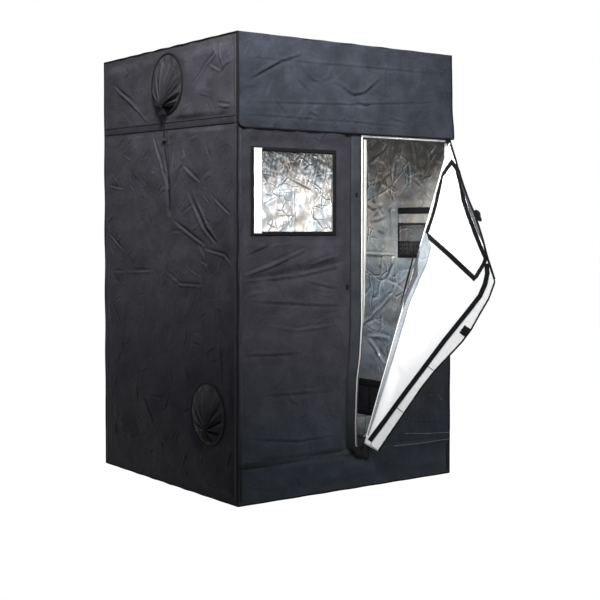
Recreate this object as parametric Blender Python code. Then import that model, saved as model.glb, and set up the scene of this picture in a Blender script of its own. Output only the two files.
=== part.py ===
"""An indoor grow tent: a cloth box on a steel tube frame, with its door unzipped and folded out.

Metres, +Z up. The origin is the middle of the floor's underside, +X is the tent's right side and
-Y is its front.
"""

from math import cos, pi, radians, sin

import bmesh
import bpy
from mathutils import Matrix, Vector

# Overall
WIDTH = 1.219
DEPTH = 1.205
HEIGHT = 2.007
CLOTH = 0.002
SEAT = 0.0003
OVERRUN = 0.02
TAPE_THICKNESS = 0.001

# Tube frame
TUBE_RADIUS = 0.0095
TUBE_WALL = 0.001
TUBE_SIDES_COUNT = 12
COLLAR_SWELL = 0.001
COLLAR_LENGTH = 0.014
SPIGOT_LENGTH = 0.03
UPRIGHT_JOINT_HEIGHT = 1.0
SWAGE_LENGTH = 0.05
SWAGE_SHOULDER = 0.008

# Hanging bars, which clip over the side rails
BAR_PITCH = 0.4
CLIP_WALL = 0.0017
CLIP_LENGTH = 0.03
CLIP_ARC_DEG = 220.0
CLIP_STEPS_COUNT = 10

# Front wall, its door opening and the zip round it
HEADER_HEIGHT = 0.41
SILL_HEIGHT = 0.155
DOOR_LEFT = 0.061
ZIP_WIDTH = 0.01
ZIP_NECK = 0.0035
ZIP_TOP_STOP = 0.02

# Zip slider and its pull
SLIDER_HEIGHT = 0.014
SLIDER_PLATE = 0.0018
SLIDER_REACH = 0.007
PULL_LENGTH = 0.045
PULL_WIDTH = 0.006
PULL_THICKNESS = 0.0015

# Door flap: closed it covers the opening, and its left strip laps over the fixed wall
FLAP_OVERLAP = 0.061
FLAP_TOP_LAP = 0.003
FLAP_RIGHT_INSET = 0.0065
FOLD_START_HEIGHT = 0.2
FLAP_FOOT_RISE = 0.01
FLAP_OPEN_DEG = 113.0
CORNER_DROP = 0.443
CORNER_BEND_DEG = 105.0
CREASE_ROLL_RADIUS = 0.0022
CREASE_END_MARGIN = 0.012
ROLL_SIDES_COUNT = 8
STORM_STRIP_WIDTH = 0.045
FLAP_ZIP_WIDTH = 0.018
FLAP_ZIP_END_MARGIN = 0.03

# Windows: one in the fixed wall, one of the same height in the door
WINDOW_LEFT_INSET = 0.0645
WINDOW_WIDTH = 0.462
WINDOW_HEIGHT = 0.383
WINDOW_DROP = 0.067
WINDOW_TAPE = 0.02
FILM_THICKNESS = 0.001
FILM_LAP = 0.012
STRIP_WIDTH = 0.042
STRIP_TOP_LAP = 0.012
DOOR_WINDOW_WIDTH = 0.435
DOOR_WINDOW_LEFT_GAP = 0.024

# Valance over the door's top edge
VALANCE_HEIGHT = 0.4
VALANCE_CORNER_RADIUS = 0.03
ARC_STEPS_COUNT = 6

# Duct ports: a round hole with a pleated sleeve tied shut, and its tail hanging
PORT_RADIUS = 0.127
PORT_HEM = 0.0105
SLEEVE_RISE = 0.034
PLEAT_DEPTH = 0.007
PLEAT_COUNT = 12
POINTS_PER_PLEAT_COUNT = 4
NECK_RADIUS = 0.013
TAIL_LENGTH = 0.022
TAIL_FLARE = 0.003
UPPER_PORT_DROP = 0.166
UPPER_PORT_OFFSET = 0.022
UPPER_GATHER_DROP = 0.1
LOWER_PORT_HEIGHT = 0.366
LOWER_PORT_FRONT_INSET = 0.2365
LOWER_GATHER_DROP = 0.056
LOWER_GATHER_SHIFT = 0.034

# Drawstring of the upper left sleeve and its cord lock
CORD_RADIUS = 0.002
CORD_STEP = 0.01
LOCK_RADIUS = 0.008
LOCK_LENGTH = 0.02
LOCK_DROP = 0.254
LOCK_OFFSET = 0.008
KNOT_DROP = 0.484
KNOT_OFFSET = 0.0415
KNOT_RADIUS = 0.0045
KNOT_LENGTH = 0.01
CORD_SLACK = 0.0008
BUTTON_RADIUS = 0.0052
BUTTON_LENGTH = 0.009
BUTTON_TRAVEL = 0.003

# Right wall: the lower vent, its net and cover, and the organiser
VENT_WIDTH = 0.36
VENT_HEIGHT = 0.137
VENT_FOOT = 0.228
NET_TOP_BORDER = 0.04
NET_LOW_BORDER = 0.03
NET_SIDE_BORDER = 0.02
NET_CORD = 0.0018
NET_COLUMNS_COUNT = 16
NET_ROWS_COUNT = 6
COVER_LAP = 0.01
POUCH_DROP = 0.797
POUCH_HEIGHT = 0.18
POUCH_WIDTH = 0.25
POUCH_DEPTH = 0.032
POUCH_WALL = 0.0015
POUCH_FRONT_INSET = 0.1275
ORGANISER_STRIP_RISE = 0.044
ORGANISER_STRIP_HEIGHT = 0.032
ORGANISER_STRIP_LENGTH = 0.3

# Spill tray
TRAY_WALL_HEIGHT = 0.09
TRAY_CLEARANCE = 0.01

# Sizes that follow
TUBE_BORE = TUBE_RADIUS - TUBE_WALL
SPIGOT_RADIUS = TUBE_BORE - SEAT
COLLAR_RADIUS = TUBE_RADIUS + COLLAR_SWELL
CLIP_RADIUS = TUBE_RADIUS + SEAT + CLIP_WALL
BALL_RADIUS = CLIP_RADIUS
FRAME_INSET = CLOTH + SEAT + BALL_RADIUS
POST_X = WIDTH / 2 - FRAME_INSET
POST_Y = DEPTH / 2 - FRAME_INSET
RAIL_LOW = FRAME_INSET
RAIL_HIGH = HEIGHT - FRAME_INSET
TUBE_END = COLLAR_LENGTH + SEAT

FRONT = -DEPTH / 2
INNER_SIDE = WIDTH / 2 - CLOTH
PANEL_SIDE = INNER_SIDE - SEAT
PANEL_LOW = CLOTH + SEAT
PANEL_HIGH = HEIGHT - CLOTH - SEAT
DOOR_TOP = HEIGHT - HEADER_HEIGHT
ZIP_INNER = DOOR_LEFT + ZIP_WIDTH
SLIDER_RIGHT = ZIP_INNER + SEAT + ZIP_NECK

FLAP_LIFT = TAPE_THICKNESS + 2 * SEAT
FOLD_ROLL_RADIUS = FLAP_LIFT + CLOTH / 2 - SEAT
FLAP_PLANE = FRONT - FLAP_LIFT - CLOTH / 2
FLAP_LEFT = DOOR_LEFT - FLAP_OVERLAP
FLAP_TOP = DOOR_TOP + FLAP_TOP_LAP
FOLD_START = Vector((SLIDER_RIGHT + SEAT + FOLD_ROLL_RADIUS, 0, FOLD_START_HEIGHT))
FOLD_END = Vector((WIDTH / 2 - FLAP_RIGHT_INSET, 0, FLAP_TOP))
FLAP_FOOT = Vector((FLAP_LEFT, 0, FOLD_START_HEIGHT + FLAP_FOOT_RISE))
CREASE_START = Vector((FLAP_LEFT, 0, FLAP_TOP - CORNER_DROP))
FLAP_TIP = Vector((FLAP_LEFT, 0, FLAP_TOP))

WINDOW_TOP = DOOR_TOP - WINDOW_DROP
WINDOW_LEFT = -WIDTH / 2 + WINDOW_LEFT_INSET
UPPER_PORT_HEIGHT = HEIGHT - UPPER_PORT_DROP


# Materials
def material(name, colour, roughness, metallic=0.0):
    made = bpy.data.materials.new(name)
    made.use_nodes = True
    shader = made.node_tree.nodes["Principled BSDF"]
    shader.inputs["Base Color"].default_value = (*colour, 1.0)
    shader.inputs["Roughness"].default_value = roughness
    shader.inputs["Metallic"].default_value = metallic
    made.diffuse_color = (*colour, 1.0)
    return made


def make_materials():
    return {
        "cloth": material("outer_cloth", (0.030, 0.030, 0.035), 0.75),
        "brow": material("brow_cloth", (0.065, 0.075, 0.092), 0.65),
        "lining": material("reflective_lining", (0.86, 0.87, 0.89), 0.28, 0.6),
        "tape": material("black_tape", (0.008, 0.008, 0.009), 0.6),
        "steel": material("coated_steel", (0.78, 0.79, 0.80), 0.35, 0.3),
        "plastic": material("black_plastic", (0.012, 0.012, 0.013), 0.45),
        "film": material("clear_film", (0.80, 0.83, 0.86), 0.08),
        "net": material("black_net", (0.010, 0.010, 0.011), 0.8),
        "cord": material("black_cord", (0.012, 0.012, 0.013), 0.7),
        "metal": material("slider_metal", (0.10, 0.10, 0.11), 0.35, 0.9),
    }


# Shared shapes
def add(name, bm, finish, parent=None, smooth=False):
    """Makes an object of a bmesh, with its faces pointing outwards."""
    bmesh.ops.recalc_face_normals(bm, faces=bm.faces)
    mesh = bpy.data.meshes.new(name)
    bm.to_mesh(mesh)
    bm.free()
    mesh.materials.append(finish)
    made = bpy.data.objects.new(name, mesh)
    bpy.context.scene.collection.objects.link(made)
    made.parent = parent
    if smooth:
        mesh.shade_smooth()
        mesh.set_sharp_from_angle(angle=radians(35))
    return made


def empty(name, frame, parent=None):
    made = bpy.data.objects.new(name, None)
    bpy.context.scene.collection.objects.link(made)
    made.parent = parent
    made.matrix_local = frame
    return made


def box_mesh(low, high):
    """A bmesh box between two corners."""
    bm = bmesh.new()
    low, high = Vector(low), Vector(high)
    bmesh.ops.create_cube(bm, size=1.0)
    size = high - low
    bmesh.ops.scale(bm, vec=size, verts=bm.verts)
    bmesh.ops.translate(bm, vec=(low + high) / 2, verts=bm.verts)
    return bm


def outline_mesh(points, thickness):
    """A bmesh plate: a flat outline in X and Y, as thick as stated, half on each side of Z = 0."""
    bm = bmesh.new()
    face = bm.faces.new([bm.verts.new((x, y, -thickness / 2)) for x, y in points])
    grown = bmesh.ops.extrude_face_region(bm, geom=[face])
    moved = [item for item in grown["geom"] if isinstance(item, bmesh.types.BMVert)]
    bmesh.ops.translate(bm, vec=(0, 0, thickness), verts=moved)
    return bm


def turned_mesh(profile, sides, closed=False):
    """A bmesh turned round Z from (radius, height) points. A closed profile makes a tube."""
    bm = bmesh.new()
    rings = []
    for radius, height in profile:
        if radius == 0:
            rings.append([bm.verts.new((0, 0, height))])
            continue
        turns = [2 * pi * step / sides for step in range(sides)]
        rings.append([bm.verts.new((radius * cos(a), radius * sin(a), height)) for a in turns])
    pairs = list(zip(rings, rings[1:]))
    if closed:
        pairs.append((rings[-1], rings[0]))
    for low, high in pairs:
        bridge(bm, low, high)
    return bm


def bridge(bm, low, high):
    """Faces between two rings of points, either of which may be a single point."""
    sides = max(len(low), len(high))
    for step in range(sides):
        after = (step + 1) % sides
        near = [low[step % len(low)], low[after % len(low)]]
        far = [high[after % len(high)], high[step % len(high)]]
        bm.faces.new(list(dict.fromkeys(near + far)))


def boolean(target, other, operation):
    """Joins another object to the target, or cuts it out, and removes the other."""
    change = target.modifiers.new("shape", "BOOLEAN")
    change.operation = operation
    change.solver = "EXACT"
    change.object = other
    bpy.context.view_layer.update()
    graph = bpy.context.evaluated_depsgraph_get()
    result = bpy.data.meshes.new_from_object(target.evaluated_get(graph))
    target.modifiers.remove(change)
    target.data = result
    bpy.data.objects.remove(other, do_unlink=True)
    return target


def cut(target, bm):
    return boolean(target, add("cutter", bm, target.data.materials[0]), "DIFFERENCE")


def join(target, bm):
    return boolean(target, add("joined", bm, target.data.materials[0]), "UNION")


def bevel(target, width, segments=2):
    change = target.modifiers.new("edges", "BEVEL")
    change.width = width
    change.segments = segments
    change.limit_method = "ANGLE"
    change.angle_limit = radians(40)
    return target


def placed(bm, frame):
    bmesh.ops.transform(bm, matrix=frame, verts=bm.verts)
    return bm


# Tube frame
def elbow_mesh():
    """A three-way corner: a ball with a collar and a spigot towards +X, +Y and +Z."""
    ball = bmesh.new()
    bmesh.ops.create_uvsphere(ball, u_segments=TUBE_SIDES_COUNT, v_segments=8, radius=BALL_RADIUS)
    form = add("elbow_form", ball, MATERIALS["plastic"])
    arm = [
        (0, 0),
        (COLLAR_RADIUS, 0),
        (COLLAR_RADIUS, COLLAR_LENGTH),
        (SPIGOT_RADIUS, COLLAR_LENGTH),
        (SPIGOT_RADIUS, COLLAR_LENGTH + SPIGOT_LENGTH),
        (0, COLLAR_LENGTH + SPIGOT_LENGTH),
    ]
    turns = (Matrix(), Matrix.Rotation(pi / 2, 4, "Y"), Matrix.Rotation(-pi / 2, 4, "X"))
    for turn in turns:
        join(form, placed(turned_mesh(arm, TUBE_SIDES_COUNT), turn))
    mesh = form.data
    mesh.name = "elbow"
    mesh.shade_smooth()
    mesh.set_sharp_from_angle(angle=radians(35))
    bpy.data.objects.remove(form, do_unlink=True)
    return mesh


def add_elbows():
    mesh = elbow_mesh()
    corners = (
        ("front_left", -1, -1, 0),
        ("front_right", 1, -1, 1),
        ("back_right", 1, 1, 2),
        ("back_left", -1, 1, 3),
    )
    for corner, side_x, side_y, quarter in corners:
        for level, height, tip in (("bottom", RAIL_LOW, 0.0), ("top", RAIL_HIGH, -pi / 2)):
            made = bpy.data.objects.new(f"elbow_{corner}_{level}", mesh)
            bpy.context.scene.collection.objects.link(made)
            made.location = (side_x * POST_X, side_y * POST_Y, height)
            made.rotation_euler = (tip, 0, quarter * pi / 2)


def add_tube(name, length, place, turn, profile=None):
    """A round tube along its own Z, from its origin."""
    plain = [(TUBE_RADIUS, 0), (TUBE_RADIUS, length), (TUBE_BORE, length), (TUBE_BORE, 0)]
    bm = turned_mesh(profile or plain, TUBE_SIDES_COUNT, closed=True)
    made = add(name, bm, MATERIALS["steel"], smooth=True)
    made.location = place
    made.rotation_euler = turn
    return made


def add_uprights():
    """Two sections at each corner: the upper one's narrowed end plugs into the lower one."""
    swage = TUBE_BORE - SEAT
    swage_bore = swage - TUBE_WALL
    low_end = RAIL_LOW + TUBE_END
    top_length = RAIL_HIGH - TUBE_END - UPRIGHT_JOINT_HEIGHT
    swaged = [
        (swage, -SWAGE_LENGTH),
        (swage, SEAT),
        (TUBE_RADIUS, SEAT),
        (TUBE_RADIUS, top_length),
        (TUBE_BORE, top_length),
        (TUBE_BORE, SWAGE_SHOULDER),
        (swage_bore, -SWAGE_SHOULDER),
        (swage_bore, -SWAGE_LENGTH),
    ]
    for side, sign_x in (("left", -1), ("right", 1)):
        for face, sign_y in (("front", -1), ("back", 1)):
            x, y = sign_x * POST_X, sign_y * POST_Y
            name = f"upright_{face}_{side}"
            add_tube(f"{name}_lower", UPRIGHT_JOINT_HEIGHT - low_end, (x, y, low_end), (0, 0, 0))
            add_tube(f"{name}_upper", top_length, (x, y, UPRIGHT_JOINT_HEIGHT), (0, 0, 0), swaged)


def add_rails():
    across = 2 * (POST_X - TUBE_END)
    along = 2 * (POST_Y - TUBE_END)
    for level, height in (("bottom", RAIL_LOW), ("top", RAIL_HIGH)):
        for face, sign in (("front", -1), ("back", 1)):
            add_tube(f"{level}_rail_{face}", across, (-across / 2, sign * POST_Y, height), (0, pi / 2, 0))
        for side, sign in (("left", -1), ("right", 1)):
            add_tube(f"{level}_rail_{side}", along, (sign * POST_X, along / 2, height), (pi / 2, 0, 0))


def clip_outline():
    """An open ring over a rail: round its top and both sides, open below."""
    half = radians(CLIP_ARC_DEG) / 2
    turns = [pi / 2 - half + 2 * half * step / CLIP_STEPS_COUNT for step in range(CLIP_STEPS_COUNT + 1)]
    outer = [(CLIP_RADIUS * cos(a), CLIP_RADIUS * sin(a)) for a in turns]
    bore = (TUBE_RADIUS + SEAT) / cos(half / CLIP_STEPS_COUNT)
    inner = [(bore * cos(a), bore * sin(a)) for a in reversed(turns)]
    return outer + inner


def add_hanging_bars():
    """Bars for lamps and filters, each with a clip at both ends that snaps over a side rail."""
    reach = POST_X - TUBE_RADIUS - SEAT - CLIP_WALL / 2
    rod = [(0, -reach), (TUBE_RADIUS, -reach), (TUBE_RADIUS, reach), (0, reach)]
    for place, sign in (("front", -1), ("rear", 1)):
        bm = placed(turned_mesh(rod, TUBE_SIDES_COUNT), Matrix.Rotation(pi / 2, 4, "Y"))
        made = add(f"hanging_bar_{place}", bm, MATERIALS["steel"])
        for side in (-1, 1):
            stand = Matrix.Translation((side * POST_X, 0, 0)) @ Matrix.Rotation(pi / 2, 4, "X")
            join(made, placed(outline_mesh(clip_outline(), CLIP_LENGTH), stand))
        made.data.shade_smooth()
        made.data.set_sharp_from_angle(angle=radians(35))
        made.location = (0, sign * BAR_PITCH / 2, RAIL_HIGH)


# Cloth shell
def add_panel(name, low, high, finish="cloth"):
    return add(name, box_mesh(low, high), MATERIALS[finish])


def cut_port(wall, place, along_x):
    """A round duct hole through a wall that faces along X, or along Y."""
    turn = Matrix.Rotation(pi / 2, 4, "Y" if along_x else "X")
    sides = PLEAT_COUNT * POINTS_PER_PLEAT_COUNT
    disc = [(0, -OVERRUN), (PORT_RADIUS, -OVERRUN), (PORT_RADIUS, OVERRUN), (0, OVERRUN)]
    cut(wall, placed(turned_mesh(disc, sides), Matrix.Translation(place) @ turn))


def add_shell():
    half_x, half_y = WIDTH / 2, DEPTH / 2
    back = half_y - CLOTH
    add_panel("floor_panel", (-half_x, -half_y, 0), (half_x, half_y, CLOTH))
    add_panel("roof_panel", (-half_x, -half_y, HEIGHT - CLOTH), (half_x, half_y, HEIGHT))
    left = add_panel("left_wall", (-half_x, -half_y, PANEL_LOW), (-INNER_SIDE, half_y, PANEL_HIGH))
    cut_port(left, (-half_x, -UPPER_PORT_OFFSET, UPPER_PORT_HEIGHT), True)
    cut_port(left, (-half_x, FRONT + LOWER_PORT_FRONT_INSET, LOWER_PORT_HEIGHT), True)
    right = add_panel("right_wall", (INNER_SIDE, -half_y, PANEL_LOW), (half_x, half_y, PANEL_HIGH))
    cut_port(right, (half_x, -UPPER_PORT_OFFSET, UPPER_PORT_HEIGHT), True)
    vent_low = (INNER_SIDE - OVERRUN, -VENT_WIDTH / 2, VENT_FOOT)
    cut(right, box_mesh(vent_low, (half_x + OVERRUN, VENT_WIDTH / 2, VENT_FOOT + VENT_HEIGHT)))
    add_panel("back_wall", (-PANEL_SIDE, back, PANEL_LOW), (PANEL_SIDE, half_y, PANEL_HIGH))


def add_front():
    """The fixed front: the left part with its window, the header over the door and the sill."""
    inside = FRONT + CLOTH
    left_end = (DOOR_LEFT - SEAT, inside, DOOR_TOP - SEAT)
    left = add_panel("front_left_panel", (-PANEL_SIDE, FRONT, PANEL_LOW), left_end)
    hole_low = (WINDOW_LEFT + WINDOW_TAPE, FRONT - OVERRUN, WINDOW_TOP - WINDOW_HEIGHT + WINDOW_TAPE)
    hole_high = (WINDOW_LEFT + WINDOW_WIDTH - WINDOW_TAPE, inside + OVERRUN, WINDOW_TOP - WINDOW_TAPE)
    cut(left, box_mesh(hole_low, hole_high))
    add_panel("front_header", (-PANEL_SIDE, FRONT, DOOR_TOP), (PANEL_SIDE, inside, PANEL_HIGH))
    add_panel("front_sill", (DOOR_LEFT, FRONT, PANEL_LOW), (PANEL_SIDE, inside, SILL_HEIGHT - SEAT))


def add_window():
    """Clear film behind the wall, a tape frame round it, and the cover's strip down its left side."""
    high = WINDOW_TOP - WINDOW_TAPE
    low = WINDOW_TOP - WINDOW_HEIGHT + WINDOW_TAPE
    left = WINDOW_LEFT + WINDOW_TAPE
    right = WINDOW_LEFT + WINDOW_WIDTH - WINDOW_TAPE
    film_back = FRONT + CLOTH + SEAT
    film_low = (left - FILM_LAP, film_back, low - FILM_LAP)
    film_high = (right + FILM_LAP, film_back + FILM_THICKNESS, high + FILM_LAP)
    add_panel("window_film", film_low, film_high, "film")
    tape_face = FRONT - SEAT
    tape_low = (WINDOW_LEFT, tape_face - TAPE_THICKNESS, WINDOW_TOP - WINDOW_HEIGHT)
    tape = add_panel("window_tape", tape_low, (WINDOW_LEFT + WINDOW_WIDTH, tape_face, WINDOW_TOP), "tape")
    cut(tape, box_mesh((left, tape_face - OVERRUN, low), (right, tape_face + OVERRUN, high)))
    strip_face = tape_face - TAPE_THICKNESS - SEAT
    strip_low = (left - SEAT, strip_face - TAPE_THICKNESS, low)
    add_panel("window_strip", strip_low, (left + STRIP_WIDTH, strip_face, high + STRIP_TOP_LAP), "lining")


def add_zip():
    """The fixed half of the zip, up the left side of the opening and along its top."""
    inside = FRONT + CLOTH
    end = FOLD_END.x - ZIP_TOP_STOP
    top = DOOR_TOP - SEAT
    tape = add_panel("door_zip", (DOOR_LEFT, FRONT, SILL_HEIGHT), (ZIP_INNER, inside, top), "lining")
    join(tape, box_mesh((DOOR_LEFT, FRONT, top - ZIP_WIDTH), (end, inside, top)))


def add_slider():
    """A slider that grips the tape's free edge from front and back, and the pull that hangs from it."""
    rest = empty("zip_slider_place", Matrix.Translation((ZIP_INNER, FRONT, SILL_HEIGHT + SEAT)))
    front = -SEAT - SLIDER_PLATE
    back = CLOTH + SEAT + SLIDER_PLATE
    neck = SEAT + ZIP_NECK
    outline = [
        (-SLIDER_REACH, front),
        (neck, front),
        (neck, back),
        (-SLIDER_REACH, back),
        (-SLIDER_REACH, back - SLIDER_PLATE),
        (SEAT, back - SLIDER_PLATE),
        (SEAT, front + SLIDER_PLATE),
        (-SLIDER_REACH, front + SLIDER_PLATE),
    ]
    stand = Matrix.Translation((0, 0, SLIDER_HEIGHT / 2))
    add("zip_slider", placed(outline_mesh(outline, SLIDER_HEIGHT), stand), MATERIALS["metal"], rest)
    top = SLIDER_HEIGHT - SLIDER_PLATE
    half = PULL_THICKNESS / 2
    pivot = empty("zip_pull_pivot", Matrix.Translation((-PULL_WIDTH / 2, front - SEAT - half, top)), rest)
    low = (-PULL_WIDTH / 2, -half, -PULL_LENGTH)
    pull = add("zip_pull", box_mesh(low, (PULL_WIDTH / 2, half, 0)), MATERIALS["plastic"], pivot)
    bevel(pull, PULL_THICKNESS / 4)


def add_lower_door():
    """The part of the door that stays in the front wall, below the fold."""
    left = SLIDER_RIGHT + SEAT
    fold = FOLD_END - FOLD_START
    left_top = FOLD_START.z + (left - FOLD_START.x) * fold.z / fold.x
    right_top = DOOR_TOP - SEAT
    right = FOLD_START.x + (right_top - FOLD_START.z) * fold.x / fold.z
    outline = [
        (left, SILL_HEIGHT),
        (PANEL_SIDE, SILL_HEIGHT),
        (PANEL_SIDE, right_top),
        (right, right_top),
        (left, left_top),
    ]
    stand = Matrix.Translation((0, FRONT + CLOTH / 2, 0)) @ Matrix.Rotation(pi / 2, 4, "X")
    add("door_lower_panel", placed(outline_mesh(outline, CLOTH), stand), MATERIALS["cloth"])


def add_valance():
    """The flap over the door's top edge, sewn along the roof's front edge."""
    half = WIDTH / 2
    radius = VALANCE_CORNER_RADIUS
    turns = [pi + pi / 2 * step / ARC_STEPS_COUNT for step in range(ARC_STEPS_COUNT + 1)]
    centre = Vector((radius - half, radius - VALANCE_HEIGHT))
    corner = [(centre.x + radius * cos(a), centre.y + radius * sin(a)) for a in turns]
    outline = [(-half, 0)] + corner + [(half, -VALANCE_HEIGHT), (half, 0)]
    hinge = empty("valance_hinge", Matrix.Translation((0, FRONT - SEAT - CLOTH / 2, HEIGHT)))
    upright = Matrix.Rotation(pi / 2, 4, "X")
    add("valance", placed(outline_mesh(outline, CLOTH), upright), MATERIALS["brow"], hinge)


# Door flap
def fold_frame():
    """The flap's frame, open: X along the fold, Y across the flap, its origin at the fold's foot."""
    along = (FOLD_END - FOLD_START).normalized()
    across = Vector((-along.z, 0, along.x))
    turned = Matrix.Rotation(radians(FLAP_OPEN_DEG), 3, along) @ across
    normal = along.cross(turned)
    frame = Matrix((along, turned, normal)).transposed().to_4x4()
    frame.translation = (FOLD_START.x, FLAP_PLANE, FOLD_START.z)
    return frame


def on_flap(point):
    """A point of the closed door, in the flap's own X and Y."""
    along = (FOLD_END - FOLD_START).normalized()
    across = Vector((-along.z, 0, along.x))
    offset = point - FOLD_START
    return Vector((offset.dot(along), offset.dot(across)))


def crease_frame():
    """The tip's frame on the flap: X along the crease, Y across the tip, bent to the outer side."""
    start, end = on_flap(CREASE_START), on_flap(FOLD_END)
    along = (end - start).normalized()
    flat = Matrix(((along.x, -along.y, 0), (along.y, along.x, 0), (0, 0, 1))).to_4x4()
    flat.translation = (start.x, start.y, 0)
    return flat @ Matrix.Rotation(radians(CORNER_BEND_DEG), 4, "X")


def on_corner(point):
    """A point of the closed door, in the bent tip's own X and Y."""
    start, end = on_flap(CREASE_START), on_flap(FOLD_END)
    along = (end - start).normalized()
    offset = on_flap(point) - start
    return Vector((offset.dot(along), along.x * offset.y - along.y * offset.x))


def crease_edge(setback):
    """The crease's two ends, moved down into the flap by a setback."""
    start, end = on_flap(CREASE_START), on_flap(FOLD_END)
    along = (end - start).normalized()
    down = Vector((along.y, -along.x)) * setback
    edge = on_flap(FLAP_FOOT) - start
    foot = start + edge.normalized() * (setback / abs(edge.normalized().dot(Vector((along.y, -along.x)))))
    top = end + down
    return foot, top - along * (top.y / along.y)


def roll_mesh(radius, start, end):
    """A round roll of cloth along X."""
    profile = [(0, start), (radius, start), (radius, end), (0, end)]
    return placed(turned_mesh(profile, ROLL_SIDES_COUNT), Matrix.Rotation(pi / 2, 4, "Y"))


def add_flap(hinge):
    """The main part of the flap, rolled round the fold line."""
    foot, top = crease_edge(CREASE_ROLL_RADIUS + SEAT)
    outline = [(0, 0), on_flap(FLAP_FOOT), foot, top]
    flap = add("door_flap", outline_mesh(outline, CLOTH), MATERIALS["lining"])
    length = (FOLD_END - FOLD_START).length
    join(flap, roll_mesh(FOLD_ROLL_RADIUS, 0, length))
    flap.parent = hinge


def add_corner(hinge):
    """The door's top left tip, bent back behind the flap along the crease."""
    length = (FOLD_END - CREASE_START).length
    end = length - CREASE_END_MARGIN
    tip = on_corner(FLAP_TIP)
    top_edge = on_corner(FOLD_END) - tip
    end_point = tip + top_edge * (end - tip.x) / top_edge.x
    outline = [(0, 0), (end, 0), end_point, tip]
    corner = add("door_corner", outline_mesh(outline, CLOTH), MATERIALS["cloth"])
    join(corner, roll_mesh(CREASE_ROLL_RADIUS, 0, end))
    corner.parent = hinge


def strip_between(start, end, width):
    """The four corners of a straight strip, centred on a line."""
    along = (end - start).normalized()
    side = Vector((-along.y, along.x)) * (width / 2)
    return [start + side, start - side, end - side, end + side]


def add_tape(name, strips, hinge):
    """Tape sewn to the inner face of the flap or its tip, from overlapping straight strips."""
    lift = Matrix.Translation((0, 0, -CLOTH / 2 - SEAT - TAPE_THICKNESS / 2))
    made = add(name, placed(outline_mesh(strips[0], TAPE_THICKNESS), lift), MATERIALS["tape"])
    for strip in strips[1:]:
        join(made, placed(outline_mesh(strip, TAPE_THICKNESS), lift))
    made.parent = hinge
    return made


def add_door():
    """The unzipped door: the flap on its fold, its bent tip, and the tapes on their inner faces."""
    fold = empty("door_fold_hinge", fold_frame())
    crease = empty("corner_fold_hinge", crease_frame(), fold)
    add_flap(fold)
    add_corner(crease)
    add_flap_zip(fold)
    add_door_window(fold, crease)


def add_flap_zip(hinge):
    """The other half of the zip, one storm strip's width in from the flap's free edge."""
    shift = Vector((STORM_STRIP_WIDTH, 0, 0))
    low = on_flap(FLAP_FOOT + shift)
    high = on_flap(CREASE_START + shift)
    run = (high - low).normalized()
    start = low + run * FLAP_ZIP_WIDTH
    end = high - run * FLAP_ZIP_END_MARGIN
    add_tape("flap_zip_tape", [strip_between(start, end, FLAP_ZIP_WIDTH)], hinge)


def add_door_window(fold, crease):
    """The tape frame of the door's window, in the three pieces that the fold and crease leave."""
    half = WINDOW_TAPE / 2
    left = DOOR_LEFT + DOOR_WINDOW_LEFT_GAP + half
    right = left + DOOR_WINDOW_WIDTH - WINDOW_TAPE
    high = WINDOW_TOP - half
    low = WINDOW_TOP - WINDOW_HEIGHT + half
    fold_slope = (FOLD_END.z - FOLD_START.z) / (FOLD_END.x - FOLD_START.x)
    crease_slope = (FOLD_END.z - CREASE_START.z) / (FOLD_END.x - CREASE_START.x)
    fold_at_sill = FOLD_START.x + (low - FOLD_START.z) / fold_slope
    fold_at_right = FOLD_START.z + (right - FOLD_START.x) * fold_slope
    crease_at_left = CREASE_START.z + (left - CREASE_START.x) * crease_slope
    crease_at_right = CREASE_START.z + (right - half - CREASE_START.x) * crease_slope
    crease_at_head = CREASE_START.x + (high - CREASE_START.z) / crease_slope

    def strip(plane, start, end):
        ends = [plane(Vector((x, 0, z))) for x, z in (start, end)]
        return strip_between(*ends, WINDOW_TAPE)

    sill = strip(on_flap, (left - half, low), (fold_at_sill - WINDOW_TAPE, low))
    jamb = strip(on_flap, (left, low - half), (left, crease_at_left - WINDOW_TAPE))
    add_tape("flap_window_tape_lower", [sill, jamb], fold)
    stile = strip(on_flap, (right, crease_at_right - half), (right, fold_at_right + 2 * WINDOW_TAPE))
    add_tape("flap_window_tape_upper", [stile], fold)
    head = strip(on_corner, (left - half, high), (crease_at_head - 2 * WINDOW_TAPE, high))
    jamb_top = strip(on_corner, (left, high + half), (left, crease_at_left + 2 * WINDOW_TAPE))
    add_tape("corner_window_tape", [head, jamb_top], crease)


# Duct sleeves
def sleeve_ring(centre, radius, tilt, pleat):
    """A ring of points in the wall's frame: pleats rise along the ring's own axis."""
    x, y, z = centre
    points = []
    total = PLEAT_COUNT * POINTS_PER_PLEAT_COUNT
    for step in range(total):
        turn = 2 * pi * step / total
        rise = pleat * cos(PLEAT_COUNT * turn)
        up = radius * sin(turn) * cos(tilt) - rise * sin(tilt)
        out = radius * sin(turn) * sin(tilt) + rise * cos(tilt)
        points.append((x + radius * cos(turn), y + up, z + out))
    return points


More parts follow.
